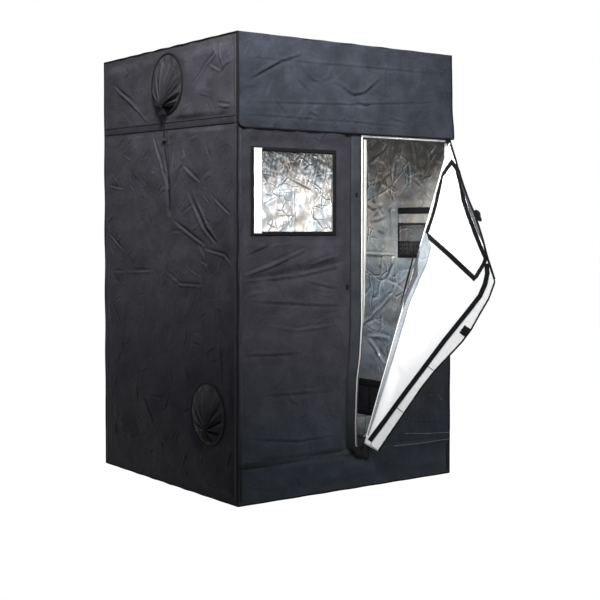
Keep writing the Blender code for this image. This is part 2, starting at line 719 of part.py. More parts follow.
def sleeve_mesh(shift, drop):
    """A sleeve tied shut: from its hem on the wall it gathers to a neck, shifted and dropped."""
    along_height_pleat_shares = ((0.15, 0.55, 0.35), (0.45, 0.95, 1.0), (0.75, 1.0, 0.8))
    rings = [
        sleeve_ring((0, 0, SEAT), PORT_RADIUS + PORT_HEM, 0, 0),
        sleeve_ring((0, 0, SEAT + CLOTH), PORT_RADIUS + PORT_HEM, 0, 0),
        sleeve_ring((0, 0, SEAT + CLOTH), PORT_RADIUS + CLOTH, 0, 0),
    ]
    inner = [sleeve_ring((0, 0, SEAT), PORT_RADIUS, 0, 0)]
    for along, height, pleats in along_height_pleat_shares:
        radius = PORT_RADIUS + (NECK_RADIUS - PORT_RADIUS) * along
        rise = SEAT + CLOTH + SLEEVE_RISE * height
        place = (shift * along, -drop * along)
        rings.append(sleeve_ring((*place, rise), radius, 0, PLEAT_DEPTH * pleats))
        inner.append(sleeve_ring((*place, rise - CLOTH), radius - CLOTH, 0, PLEAT_DEPTH * pleats))
    neck_rise = SEAT + CLOTH + SLEEVE_RISE
    tail_rise = neck_rise - NECK_RADIUS
    rings.append(sleeve_ring((shift, -drop, neck_rise), NECK_RADIUS, pi / 4, 0))
    rings.append(sleeve_ring((shift, -drop - NECK_RADIUS, tail_rise), NECK_RADIUS, pi / 2, 0))
    tail_end = -drop - NECK_RADIUS - TAIL_LENGTH
    rings.append(sleeve_ring((shift, tail_end, tail_rise), NECK_RADIUS + TAIL_FLARE, pi / 2, 0))
    bm = bmesh.new()
    deepest = (*place, rise - CLOTH)
    loops = [[(shift, tail_end, tail_rise)]] + rings[::-1] + inner + [[deepest]]
    made = [[bm.verts.new(point) for point in loop] for loop in loops]
    for low, high in zip(made, made[1:]):
        bridge(bm, low, high)
    return bm


def add_sleeves():
    left = Matrix(((0, 0, -1), (-1, 0, 0), (0, 1, 0))).to_4x4()
    right = Matrix(((0, 0, 1), (1, 0, 0), (0, 1, 0))).to_4x4()
    upper = (-UPPER_PORT_OFFSET, UPPER_PORT_HEIGHT)
    lower = (FRONT + LOWER_PORT_FRONT_INSET, LOWER_PORT_HEIGHT)
    half = WIDTH / 2
    ports = (
        ("left_upper", left, (-half, *upper), 0, UPPER_GATHER_DROP),
        ("left_lower", left, (-half, *lower), LOWER_GATHER_SHIFT, LOWER_GATHER_DROP),
        ("right_upper", right, (half, *upper), 0, UPPER_GATHER_DROP),
    )
    for place_name, turn, place, shift, drop in ports:
        made = add(f"duct_sleeve_{place_name}", sleeve_mesh(shift, drop), MATERIALS["cloth"], smooth=True)
        made.matrix_world = Matrix.Translation(place) @ turn


# Drawstring and cord lock
def cord_route():
    """The drawstring's own points, from the sleeve's tail down the wall to its end."""
    tail = UPPER_PORT_HEIGHT - UPPER_GATHER_DROP - NECK_RADIUS - TAIL_LENGTH - SEAT
    tail_out = SEAT + CLOTH + SLEEVE_RISE - NECK_RADIUS
    wall = -WIDTH / 2
    lock_out = LOCK_RADIUS + SEAT
    knot_out = KNOT_RADIUS + SEAT
    near = CORD_RADIUS + 2 * SEAT
    top = UPPER_PORT_HEIGHT
    lock = top - LOCK_DROP
    knot = top - KNOT_DROP
    return [
        Vector((wall - tail_out, -UPPER_PORT_OFFSET, tail)),
        Vector((wall - tail_out, -0.021, tail - 0.012)),
        Vector((wall - 0.014, -0.014, lock + 0.054)),
        Vector((wall - lock_out, -LOCK_OFFSET, lock + LOCK_RADIUS)),
        Vector((wall - lock_out, -LOCK_OFFSET, lock - LOCK_RADIUS)),
        Vector((wall - 0.0065, -0.014, lock - 0.056)),
        Vector((wall - near, -0.029, lock - 0.139)),
        Vector((wall - knot_out, -KNOT_OFFSET, knot + 2 * KNOT_LENGTH)),
        Vector((wall - knot_out, -KNOT_OFFSET, knot + KNOT_LENGTH)),
        Vector((wall - knot_out, -KNOT_OFFSET, knot - KNOT_LENGTH)),
        Vector((wall - knot_out, -KNOT_OFFSET, knot - 2 * KNOT_LENGTH)),
        Vector((wall - near, -0.044, knot - 0.036)),
        Vector((wall - near, -0.041, knot - 0.078)),
    ]


def smooth_points(route, step):
    """Points at an even step along a smooth curve through the route."""
    padded = [route[0] * 2 - route[1]] + route + [route[-1] * 2 - route[-2]]
    fine = []
    for a, b, c, d in zip(padded, padded[1:], padded[2:], padded[3:]):
        pieces = max(2, round((c - b).length / (step / 8)))
        for index in range(pieces):
            t = index / pieces
            bend = 2 * a - 5 * b + 4 * c - d
            twist = 3 * b - a - 3 * c + d
            curve = 2 * b + (c - a) * t + bend * t**2 + twist * t**3
            fine.append(curve / 2)
    fine.append(route[-1])
    points = [fine[0]]
    for point in fine[1:-1]:
        if (point - points[-1]).length >= step:
            points.append(point)
    if (fine[-1] - points[-1]).length < step / 2:
        points.pop()
    return points + [fine[-1]]


def add_cord():
    points = smooth_points(cord_route(), CORD_STEP)
    curve = bpy.data.curves.new("drawstring", "CURVE")
    curve.dimensions = "3D"
    curve.bevel_depth = CORD_RADIUS
    curve.bevel_resolution = 2
    curve.use_fill_caps = True
    spline = curve.splines.new("POLY")
    spline.points.add(len(points) - 1)
    for spot, point in zip(spline.points, points):
        spot.co = (*point, 1)
    curve.materials.append(MATERIALS["cord"])
    bpy.context.scene.collection.objects.link(bpy.data.objects.new("drawstring", curve))


def add_cord_lock():
    """A barrel lock across the cord: a cross hole for the cord, and a button in one end."""
    place = (-WIDTH / 2 - LOCK_RADIUS - SEAT, -LOCK_OFFSET, UPPER_PORT_HEIGHT - LOCK_DROP)
    half = LOCK_LENGTH / 2
    stand = empty("cord_lock_place", Matrix.Translation(place) @ Matrix.Rotation(-pi / 2, 4, "X"))
    hole = CORD_RADIUS + CORD_SLACK
    profile = [(0, -half), (LOCK_RADIUS, -half), (LOCK_RADIUS, half), (0, half)]
    lock = add("cord_lock", turned_mesh(profile, TUBE_SIDES_COUNT), MATERIALS["plastic"], smooth=True)
    bore = [(0, -OVERRUN), (hole, -OVERRUN), (hole, OVERRUN), (0, OVERRUN)]
    cut(lock, placed(turned_mesh(bore, TUBE_SIDES_COUNT), Matrix.Rotation(pi / 2, 4, "X")))
    pocket = BUTTON_RADIUS + SEAT
    floor = half - 2 * BUTTON_TRAVEL - SEAT
    well_profile = [(0, floor), (pocket, floor), (pocket, OVERRUN), (0, OVERRUN)]
    cut(lock, turned_mesh(well_profile, TUBE_SIDES_COUNT))
    lock.parent = stand
    button_profile = [(0, 0), (BUTTON_RADIUS, 0), (BUTTON_RADIUS, BUTTON_LENGTH), (0, BUTTON_LENGTH)]
    button_mesh = turned_mesh(button_profile, TUBE_SIDES_COUNT)
    button = add("cord_lock_button", button_mesh, MATERIALS["plastic"], stand, smooth=True)
    button.location = (0, 0, half - BUTTON_TRAVEL)


def add_knot():
    """The knot near the drawstring's end."""
    hole = CORD_RADIUS + SEAT
    half = KNOT_LENGTH / 2
    profile = [(hole, -half), (KNOT_RADIUS, -half / 2), (KNOT_RADIUS, half / 2), (hole, half)]
    ring = turned_mesh(profile, TUBE_SIDES_COUNT, closed=True)
    made = add("cord_knot", ring, MATERIALS["cord"], smooth=True)
    made.location = (-WIDTH / 2 - SEAT - KNOT_RADIUS, -KNOT_OFFSET, UPPER_PORT_HEIGHT - KNOT_DROP)


# Right wall fittings
def net_mesh():
    """A border and a square net, in one flat piece: X along the net, Y up."""
    columns = [-VENT_WIDTH / 2 - NET_SIDE_BORDER]
    for step in range(NET_COLUMNS_COUNT + 1):
        line = -VENT_WIDTH / 2 + VENT_WIDTH * step / NET_COLUMNS_COUNT
        columns += [line - NET_CORD / 2, line + NET_CORD / 2]
    columns.append(VENT_WIDTH / 2 + NET_SIDE_BORDER)
    rows = [-NET_LOW_BORDER]
    for step in range(NET_ROWS_COUNT + 1):
        line = VENT_HEIGHT * step / NET_ROWS_COUNT
        rows += [line - NET_CORD / 2, line + NET_CORD / 2]
    rows.append(VENT_HEIGHT + NET_TOP_BORDER)
    bm = bmesh.new()
    grid = [[bm.verts.new((x, y, 0)) for y in rows] for x in columns]
    for i in range(len(columns) - 1):
        for j in range(len(rows) - 1):
            gap = i % 2 == 0 and j % 2 == 0 and 0 < i < len(columns) - 2 and 0 < j < len(rows) - 2
            if not gap:
                bm.faces.new((grid[i][j], grid[i + 1][j], grid[i + 1][j + 1], grid[i][j + 1]))
    grown = bmesh.ops.extrude_face_region(bm, geom=bm.faces[:])
    moved = [item for item in grown["geom"] if isinstance(item, bmesh.types.BMVert)]
    bmesh.ops.translate(bm, vec=(0, 0, TAPE_THICKNESS), verts=moved)
    return bm


def add_vent():
    """The net behind the lower vent, and the cover that hangs over it outside."""
    turn = Matrix(((0, 0, 1), (1, 0, 0), (0, 1, 0))).to_4x4()
    net = add("vent_net", net_mesh(), MATERIALS["net"])
    net.matrix_world = Matrix.Translation((INNER_SIDE - SEAT - TAPE_THICKNESS, 0, VENT_FOOT)) @ turn
    top = VENT_FOOT + VENT_HEIGHT + NET_TOP_BORDER + COVER_LAP
    foot = VENT_FOOT - NET_LOW_BORDER - COVER_LAP
    half = VENT_WIDTH / 2 + NET_SIDE_BORDER + COVER_LAP
    hinge = empty("vent_cover_hinge", Matrix.Translation((WIDTH / 2 + SEAT + CLOTH / 2, 0, top)))
    cover = box_mesh((-CLOTH / 2, -half, foot - top), (CLOTH / 2, half, 0))
    add("vent_cover", cover, MATERIALS["cloth"], hinge)


def add_organiser():
    """A strip of tape and an open-topped pouch on the right wall, inside."""
    wall = INNER_SIDE - SEAT
    front = FRONT + POUCH_FRONT_INSET
    back = front + POUCH_WIDTH
    top = HEIGHT - POUCH_DROP
    low = (wall - POUCH_DEPTH, front, top - POUCH_HEIGHT)
    pouch = add("organiser_pouch", box_mesh(low, (wall, back, top)), MATERIALS["net"])
    hollow_low = (wall - POUCH_DEPTH + POUCH_WALL, front + POUCH_WALL, top - POUCH_HEIGHT + POUCH_WALL)
    cut(pouch, box_mesh(hollow_low, (wall - POUCH_WALL, back - POUCH_WALL, top + OVERRUN)))
    strip_low = top + ORGANISER_STRIP_RISE
    start = (wall - TAPE_THICKNESS, back - ORGANISER_STRIP_LENGTH, strip_low)
    add_panel("organiser_strip", start, (wall, back, strip_low + ORGANISER_STRIP_HEIGHT), "tape")


def add_tray():
    """A loose spill tray that stands on the floor, inside the bottom rails."""
    half_x = POST_X - BALL_RADIUS - TRAY_CLEARANCE
    half_y = POST_Y - BALL_RADIUS - TRAY_CLEARANCE
    low = CLOTH + SEAT
    high = low + TRAY_WALL_HEIGHT
    tray = add_panel("spill_tray", (-half_x, -half_y, low), (half_x, half_y, high), "plastic")
    hollow_low = (CLOTH - half_x, CLOTH - half_y, low + CLOTH)
    cut(tray, box_mesh(hollow_low, (half_x - CLOTH, half_y - CLOTH, high + OVERRUN)))


for old in list(bpy.data.objects):
    bpy.data.objects.remove(old, do_unlink=True)
MATERIALS = make_materials()
add_elbows()
add_uprights()
add_rails()
add_hanging_bars()
add_shell()
add_front()
add_window()
add_zip()
add_slider()
add_lower_door()
add_valance()
add_door()
add_sleeves()
add_cord()
add_cord_lock()
add_knot()
add_vent()
add_organiser()
add_tray()
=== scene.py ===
"""The look of the indoor grow tent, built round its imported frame. Metres, +Z up, front towards -Y."""

from math import cos, pi, radians, sin, sqrt

import bpy
import numpy as np
from mathutils import Matrix, Vector


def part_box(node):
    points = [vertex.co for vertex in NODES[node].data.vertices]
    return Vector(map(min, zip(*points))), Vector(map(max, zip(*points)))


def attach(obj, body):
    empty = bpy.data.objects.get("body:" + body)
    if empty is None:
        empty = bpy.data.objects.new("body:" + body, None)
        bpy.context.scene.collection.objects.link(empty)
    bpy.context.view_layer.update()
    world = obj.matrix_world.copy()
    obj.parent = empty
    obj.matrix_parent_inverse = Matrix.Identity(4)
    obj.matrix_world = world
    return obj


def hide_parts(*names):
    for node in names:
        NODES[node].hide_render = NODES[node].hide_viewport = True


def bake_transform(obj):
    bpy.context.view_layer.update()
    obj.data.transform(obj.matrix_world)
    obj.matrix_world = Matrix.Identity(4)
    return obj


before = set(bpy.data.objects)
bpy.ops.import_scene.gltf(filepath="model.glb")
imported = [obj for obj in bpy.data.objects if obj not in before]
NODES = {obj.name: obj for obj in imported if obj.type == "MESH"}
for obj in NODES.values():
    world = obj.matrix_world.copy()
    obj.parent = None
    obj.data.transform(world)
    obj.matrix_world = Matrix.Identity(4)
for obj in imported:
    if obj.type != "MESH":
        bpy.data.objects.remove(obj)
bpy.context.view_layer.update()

# Sizes of the frame that the cloth is fitted to
SIDE = 0.6095
FRONT = -0.6025
BACK = 0.6025
TOP = 2.007
DOOR_LEFT = 0.071
DOOR_TOP = 1.587
SILL = 0.155
FOLD_LOW = Vector((0.0774, -0.6051, 0.2))
FOLD_HIGH = Vector((0.603, -0.6051, 1.6))
CREASE_LOW = Vector((0, -0.6051, 1.157))
FLAP_FOOT = Vector((0, -0.6051, 0.21))
FLAP_TIP = Vector((0, -0.6051, 1.6))
FOLD_OPEN = radians(113)
CREASE_BEND = radians(105)
CREASE_RADIUS = 0.008
CREASE_REACH = CREASE_RADIUS * (1 - cos(CREASE_BEND)) / sin(CREASE_BEND)
PORT_RADIUS = 0.127
HEM_RADIUS = 0.1375
UPPER_PORT = (-0.022, 1.841)
LOWER_PORT = (-0.366, 0.366)
VALANCE_DROP = 0.4
VALANCE_ROUND = 0.03
WINDOW_LOW = (-0.525, 1.167)
WINDOW_HIGH = (-0.103, 1.51)
VENT_LOW = (-0.18, 0.228)
VENT_HIGH = (0.18, 0.365)
SEAM_FRONT = 1.6415
SEAM_BACK = 1.6595
CORD = 0.002

# Where the walls' cloth starts and ends, and where the lining lies inside it
LOW, HIGH = 0.003, TOP - 0.003
LINING_GAP = 0.002
SIDE_IN = SIDE - LINING_GAP
BACK_IN = BACK - LINING_GAP
VENT = (VENT_LOW, VENT_HIGH)
VENT_DEPTHS, VENT_HEIGHTS = zip(*VENT)

# Pitches of the woven cloth's threads, of stitches and of the zip's teeth
THREAD_PITCH = 0.0014
STITCH_PITCH = 0.0055
STITCH_INSET = 0.0028
TOOTH_PITCH = 0.0045

# Materials by short name, filled by main
FINISHES = {}


# Camera
def add_camera():
    data = bpy.data.cameras.new("view")
    data.lens = 72.571
    data.sensor_width = 36
    data.shift_x = -0.00165
    data.shift_y = -0.0558
    data.clip_end = 200
    camera = shown("view", data)
    camera.location = (-3.4059, -4.8584, 1.1752)
    camera.rotation_euler = (radians(90 - 1.7456), 0, radians(-36.31))
    bpy.context.scene.camera = camera


# Objects and materials
def shown(name, data):
    """A new object in the scene that shows this data."""
    made = bpy.data.objects.new(name, data)
    bpy.context.scene.collection.objects.link(made)
    return made


def blank(name, slot_name):
    """A new material with its shader; slot_name is the record's slot that it stands for."""
    made = bpy.data.materials.new(name)
    made.use_nodes = True
    made["slot"] = slot_name
    return made


def feed(owner, inputs, target=None):
    """Sets or links inputs of a node: the material's shader, unless another is given."""
    if target is None:
        target = owner.node_tree.nodes["Principled BSDF"]
    for key, value in inputs.items():
        if isinstance(value, bpy.types.NodeSocket):
            owner.node_tree.links.new(value, target.inputs[key])
        else:
            target.inputs[key].default_value = value


def node(owner, kind, inputs=(), **settings):
    """A new node of that kind in a material or the world, its inputs linked or set."""
    new = owner.node_tree.nodes.new("ShaderNode" + kind)
    for key, value in settings.items():
        setattr(new, key, value)
    feed(owner, dict(inputs), new)
    return new


def maths(made, operation, a, b=0.0):
    return node(made, "Math", {0: a, 1: b}, operation=operation).outputs[0]


def plus(made, a, b):
    return maths(made, "ADD", a, b)


def minus(made, a, b):
    return maths(made, "SUBTRACT", a, b)


def times(made, a, b):
    return maths(made, "MULTIPLY", a, b)


def spread(made, value, low=0.0, high=1.0, start=0.0, end=1.0):
    """The value's place between low and high, spread from start to end."""
    return node(made, "MapRange", {0: value, 1: low, 2: high, 3: start, 4: end}).outputs[0]


def shifted(made, coords, offset):
    """The coordinates moved by an offset."""
    return node(made, "VectorMath", {0: coords, 1: offset}, operation="ADD").outputs[0]


def mixed(made, tint, other, share=1.0, kind="MULTIPLY"):
    """Two colours multiplied, or blended in another way."""
    inputs = {"Factor": share, "A": tint, "B": other}
    return node(made, "Mix", inputs, data_type="RGBA", blend_type=kind).outputs["Result"]


def ramp(made, fac, stops):
    """A colour ramp; stops are (place, colour), and a single number stands for a grey."""
    new = node(made, "ValToRGB", {"Fac": fac})
    elements = new.color_ramp.elements
    while len(elements) < len(stops):
        elements.new(0.5)
    for element, (place, colour) in zip(elements, stops):
        element.position = place
        element.color = (*np.broadcast_to(colour, 3), 1)
    return new.outputs["Color"]


def scaled(colour, factor):
    return tuple(part * factor for part in colour)


def noise(made, coords, scale, detail=4.0, kind="FBM", distortion=0.0):
    inputs = {"Vector": coords, "Scale": scale, "Detail": detail, "Distortion": distortion}
    return node(made, "TexNoise", inputs, noise_type=kind).outputs["Fac"]


def ridged(made, coords, scale, detail, distortion):
    """Noise with sharp ridges."""
    return noise(made, coords, scale, detail, "RIDGED_MULTIFRACTAL", distortion)


def pointiness(made):
    """How far the surface bulges out or in at each place."""
    return node(made, "NewGeometry").outputs["Pointiness"]


def bumped(made, layers):
    """Bump nodes in a chain; layers are (height, distance, strength)."""
    normal = None
    for height, distance, strength in layers:
        inputs = {"Height": height, "Distance": distance, "Strength": strength}
        if normal is not None:
            inputs["Normal"] = normal
        normal = node(made, "Bump", inputs).outputs["Normal"]
    feed(made, {"Normal": normal})


def coordinates(made, mapped):
    """The cloth's own flat coordinates in metres, or the object's."""
    if mapped:
        return node(made, "UVMap", uv_map="cloth").outputs["UV"]
    return node(made, "TexCoord").outputs["Object"]


def wave(made, coords, scale, direction):
    """Even stripes across a direction."""
    return node(made, "TexWave", {"Vector": coords, "Scale": scale}, bands_direction=direction).outputs["Fac"]


def graded(made, tint, coords, axis, low, high, stops):
    """The tint multiplied by a colour that changes along one of the sheet's coordinates."""
    place = node(made, "SeparateXYZ", {0: coords}).outputs[axis]
    return mixed(made, tint, ramp(made, spread(made, place, low, high), stops))


def cloth_finish(name, slot_name, colour, roughness=0.62, wrinkle=0.0011, grade=None, pleated=False):
    """Coarse woven cloth: thread relief, faint blotches, and fine creases with painted light and shade from
    their slope.

    A pleated cloth gets painted shade in its fold valleys. A grade is (axis, low, high, stops) of painted
    light fall-off."""
    made = blank(name, slot_name)
    coords = coordinates(made, True)
    thread_scale = pi / (10 * THREAD_PITCH)
    threads = times(made, *(wave(made, coords, thread_scale, direction) for direction in "XY"))
    blotch = noise(made, coords, 9.0, 5.0)
    shade = plus(made, times(made, blotch, 0.7), times(made, noise(made, coords, 120.0, 2.0), 0.3))
    # Painted light and shade: the ridges' slope towards one fixed side lightens one side of each crease and
    # darkens the other.
    ridges = ridged(made, coords, 8.0, 5.0, 0.6)
    slope = minus(made, ridged(made, shifted(made, coords, (0.003, 0.004, 0.0)), 8.0, 5.0, 0.6), ridges)
    shade = plus(made, shade, times(made, slope, 0.55))
    tint = ramp(made, shade, [(0.3, scaled(colour, 0.62)), (0.5, colour), (0.7, scaled(colour, 1.45))])
    # Painted shade in the pleats' valleys, darkened by the surface's pointiness.
    if pleated:
        tint = mixed(made, tint, ramp(made, pointiness(made), [(0.42, 0.12), (0.5, 0.85), (0.58, 1)]))
    # Painted light fall-off along one of the sheet's coordinates.
    if grade:
        tint = graded(made, tint, coords, *grade)
    rough = spread(made, blotch, start=roughness - 0.08, end=roughness + 0.1)
    feed(made, {"Base Color": tint, "Roughness": rough, "Specular IOR Level": 0.05, "Sheen Weight": 0.02})
    soft = noise(made, coords, 26.0, 4.0)
    bumped(made, [(ridges, wrinkle * 5, 0.9), (soft, wrinkle * 4, 0.8), (threads, 0.0005, 0.6)])
    return made


def foil_height(made, where, scale):
    """Crumpled film: short chaotic ridges, with a few longer sharp folds through them."""
    mask = noise(made, where, scale * 0.6, 1.0)
    total = times(made, ridged(made, where, scale * 0.55, 6.0, 0.5), 1.1)
    for size, width, share in ((0.45, 0.04, 0.22), (1.1, 0.08, 0.2)):
        inputs = {"Vector": where, "Scale": scale * size, "Randomness": 1.0}
        edge = node(made, "TexVoronoi", inputs, feature="DISTANCE_TO_EDGE").outputs["Distance"]
        ridge = spread(made, edge, 0.0, width, share, 0.0)
        total = plus(made, total, times(made, ridge, spread(made, mask, 0.48, 0.6)))
    return total


def foil_finish(
    name, stops, roughness, metallic, scale, contrast, depth=0.006,
    shaded=None, cool=None, calm=None, folded=2.5, patchy=0.5, hued=False,
):
    """Crinkled reflective film, with painted light and reflections toned by the slope of its folds.

    shaded is (from, to, share) of painted shade up the sheet, calm is (from, to, share) for how much of the
    painted relief shading shows, and below cool it is bluer."""
    made = blank(name, "reflective_lining")
    coords = coordinates(made, True)
    drift = node(made, "TexNoise", {"Vector": coords, "Scale": scale * 0.4, "Detail": 2.0}).outputs["Color"]
    shift = node(made, "VectorMath", {0: drift, "Scale": 0.8 / scale}, operation="SCALE").outputs[0]
    moved = shifted(made, coords, shift)
    here = foil_height(made, moved, scale)
    # Painted light and reflection: the height's change towards one fixed side tones the film like lit and
    # shaded facets.
    beside = shifted(made, moved, (0.04 / scale, 0.05 / scale, 0.0))
    slope = minus(made, foil_height(made, beside, scale), here)
    fine = ridged(made, moved, scale * 4, 5.0, 0.8)
    height = node(made, "SeparateXYZ", {0: coords}).outputs["Y"]
    busy = plus(made, times(made, slope, contrast * 0.45), times(made, fine, 0.06 * contrast))
    busy = minus(made, busy, 0.03 * contrast)
    # Painted highlights on bulging folds and painted shade in hollows, from pointiness.
    if folded:
        busy = plus(made, busy, times(made, minus(made, pointiness(made), 0.5), folded))
    if calm:
        busy = times(made, busy, spread(made, height, calm[0], calm[1], calm[2], 1.0))
    broad = times(made, noise(made, coords, scale * 0.25, 3.0), patchy)
    shade = plus(made, busy, plus(made, broad, 0.5 - patchy / 2))
    if shaded:
        shade = minus(made, shade, spread(made, height, shaded[0], shaded[1], 0.0, shaded[2]))
    tint = ramp(made, shade, stops)
    if hued:
        warm_to_cold = [(0.36, (1, 0.93, 0.87)), (0.5, 1), (0.62, (0.86, 0.94, 1))]
        tint = mixed(made, tint, ramp(made, noise(made, moved, scale * 0.5, 2.0), warm_to_cold))
    if cool:
        blue = (0.5, 0.57, 0.66)
        foot = [(0.2, (0.96, 0.99, 1)), (0.235, blue), (0.934, blue), (1.0, 1)]
        tint = graded(made, tint, coords, "Y", 0.0, cool + 0.02, foot)
    rough = spread(made, fine, start=roughness, end=roughness + 0.2)
    feed(made, {"Base Color": tint, "Metallic": metallic, "Roughness": rough})
    bumped(made, [(here, depth, 0.9), (fine, depth * 0.12, 0.5)])
    return made


def tape_finish(name, slot_name, colour, roughness=0.75, mapped=True, stitched=None, wear=0.3, grade=None):
    """Narrow woven tape: diagonal ribs, a soft, worn tone and a row of stitches near its edges."""
    made = blank(name, slot_name)
    coords = coordinates(made, mapped)
    worn = noise(made, coords, 60.0, 4.0)
    tint = ramp(made, worn, [(0.3, scaled(colour, 1 - wear)), (0.7, scaled(colour, 1 + wear))])
    layers = [(wave(made, coords, 180.0, "DIAGONAL"), 0.0004, 0.6), (worn, 0.0006, 0.4)]
    # A grade paints light fall-off along the tape.
    if grade:
        tint = graded(made, tint, coords, *grade)
    if stitched:
        parts = node(made, "SeparateXYZ", {0: coords}).outputs
        row = maths(made, "ABSOLUTE", minus(made, parts["Y"], STITCH_INSET))
        run = maths(made, "FRACT", times(made, parts["X"], 1 / STITCH_PITCH))
        thread = times(made, maths(made, "LESS_THAN", row, 0.0006), maths(made, "LESS_THAN", run, 0.68))
        tint = mixed(made, tint, (*stitched, 1), thread, "MIX")
        layers.append((thread, 0.0006, 0.8))
    rough = spread(made, worn, start=roughness - 0.1, end=roughness + 0.1)
    feed(made, {"Base Color": tint, "Roughness": rough, "Specular IOR Level": 0.08})
    bumped(made, layers)
    return made


def hard_finish(name, colour, roughness, slot_name=None, metallic=0.0, coat=0.0):
    """Moulded or coated surface: fine grain, smudges and rubbed edges."""
    made = blank(name, slot_name or name)
    coords = coordinates(made, False)
    speck = noise(made, coords, 400.0, 2.0)
    smudge = noise(made, coords, 12.0, 5.0)
    edge = spread(made, pointiness(made), 0.52, 0.6)
    tone = plus(made, times(made, smudge, 0.7), times(made, edge, 0.4))
    lighter = tuple(min(1.0, part * 1.15 + 0.015) for part in colour)
    tint = ramp(made, tone, [(0.2, scaled(colour, 0.85)), (0.5, colour), (0.95, lighter)])
    rough = spread(made, smudge, start=roughness - 0.06, end=roughness + 0.12)
    feed(made, {"Base Color": tint, "Roughness": rough, "Metallic": metallic, "Coat Weight": coat})
    feed(made, {"Specular IOR Level": 0.5 if coat or metallic else 0.25})
    bumped(made, [(speck, 0.00025, 0.4)])
    return made


def make_cloths():
    """The woven cloths, graded as the light falls off over them."""
    outer, whole = (0.0415, 0.0398, 0.0485), 1
    foot = [(0.1, (0.24, 0.22, 0.27)), (0.24, (0.34, 0.32, 0.38)), (0.38, (0.78, 0.77, 0.8)), (0.5, whole)]
    front = [(0.08, (0.66, 0.84, 0.87)), (0.32, (0.92, 0.94, 0.96)), (0.5, 0.95), (0.72, (0.68, 0.69, 0.71))]
    storm = [(0.05, 0.3), (0.18, 0.6), (0.3, whole), (0.5, whole), (0.8, 0.88)]
    tail = [(0.0, whole), (0.78, whole), (0.87, 0.3)]
    brow = [(0.0, (0.74, 0.75, 0.77)), (0.6, whole)]
    return {
        "outer": cloth_finish("outer_cloth", "outer_cloth", outer),
        "left": cloth_finish("left_cloth", "outer_cloth", outer, grade=("Y", 0.0, 2.0, foot)),
        "front": cloth_finish("front_cloth", "outer_cloth", outer, grade=("Y", 0.0, 2.0, front)),
        "storm": cloth_finish(
            "storm_cloth", "outer_cloth", (0.038, 0.0425, 0.049), grade=("X", 0.0, 1.44, storm)
        ),
        "tail": cloth_finish(
            "sleeve_tail", "outer_cloth", (0.03, 0.03, 0.034), 0.5, pleated=True, grade=("Y", 0.0, 0.2, tail)
        ),
        "brow": cloth_finish(
            "brow_cloth", "brow_cloth", (0.031, 0.0345, 0.0445), 0.6, 0.0013, ("X", -0.61, 0.61, brow)
        ),
        "bunch": cloth_finish("bunch_cloth", "outer_cloth", (0.009, 0.009, 0.01), 0.5),
        "middle": cloth_finish("seam_cloth", "outer_cloth", (0.028, 0.0272, 0.0335)),
        "tray": cloth_finish("tray_cloth", "tray_cloth", (0.05, 0.05, 0.055), 0.5),
    }


def make_foils():
    """The reflective linings: crumpled on the walls, calm on the door, and painted shade at the folds' edges.
    """
    grey = [(0.08, (0.09, 0.09, 0.088)), (0.4, (0.34, 0.335, 0.32)), (0.6, (0.5, 0.5, 0.48))]
    grey.append((0.85, (0.85, 0.85, 0.83)))
    silver = [(0.1, (0.04, 0.042, 0.044)), (0.28, 0.28), (0.45, (0.48, 0.48, 0.47))]
    silver.append((0.75, (0.74, 0.74, 0.72)))
    pale = [(0.1, (0.66, 0.69, 0.73)), (0.32, (0.93, 0.935, 0.945)), (0.6, 0.96), (0.9, 0.97)]
    jamb = [(0.1, (0.3, 0.3, 0.28)), (0.4, (0.5, 0.5, 0.48)), (0.6, (0.62, 0.62, 0.6))]
    jamb.append((0.9, (0.85, 0.85, 0.84)))
    # hem tones a strip of the lining's curve beside the door's fold, painted grey-blue as its shade; slate
    # tones the painted shadow and shade sheets at the fold and crease.
    hem = [(0.1, (0.07, 0.08, 0.1)), (0.35, (0.2, 0.225, 0.25)), (0.6, (0.38, 0.41, 0.44))]
    hem.append((0.9, (0.8, 0.81, 0.82)))
    slate = [(0.2, (0.02, 0.022, 0.027)), (0.5, (0.05, 0.053, 0.063)), (0.8, (0.22, 0.23, 0.26))]
    lining = {"shaded": (1.15, 1.5, 0.24), "cool": 1.042, "folded": 5.0, "hued": True}
    pane = {"shaded": (1.34, 1.48, 0.25), "calm": (1.26, 1.42, 0.7), "patchy": 0.35, "hued": True}
    return {
        "lining": foil_finish("wall_lining", grey, 0.3, 0.35, 11.0, 5.0, **lining),
        "flap_lining": foil_finish("door_lining", pale, 0.45, 0.2, 6.0, 0.7, 0.003),
        "jamb": foil_finish("jamb_lining", jamb, 0.4, 0.3, 14.0, 1.0, 0.003, folded=0),
        "pane": foil_finish("window_pane", silver, 0.28, 0.35, 17.0, 5.4, **pane),
        "hem": foil_finish("fold_shade_sheet", hem, 0.5, 0.1, 16.0, 2.5, 0.004, folded=0),
        "slate": foil_finish("fold_shadow", slate, 0.5, 0.1, 16.0, 2.5, 0.004, folded=0),
    }


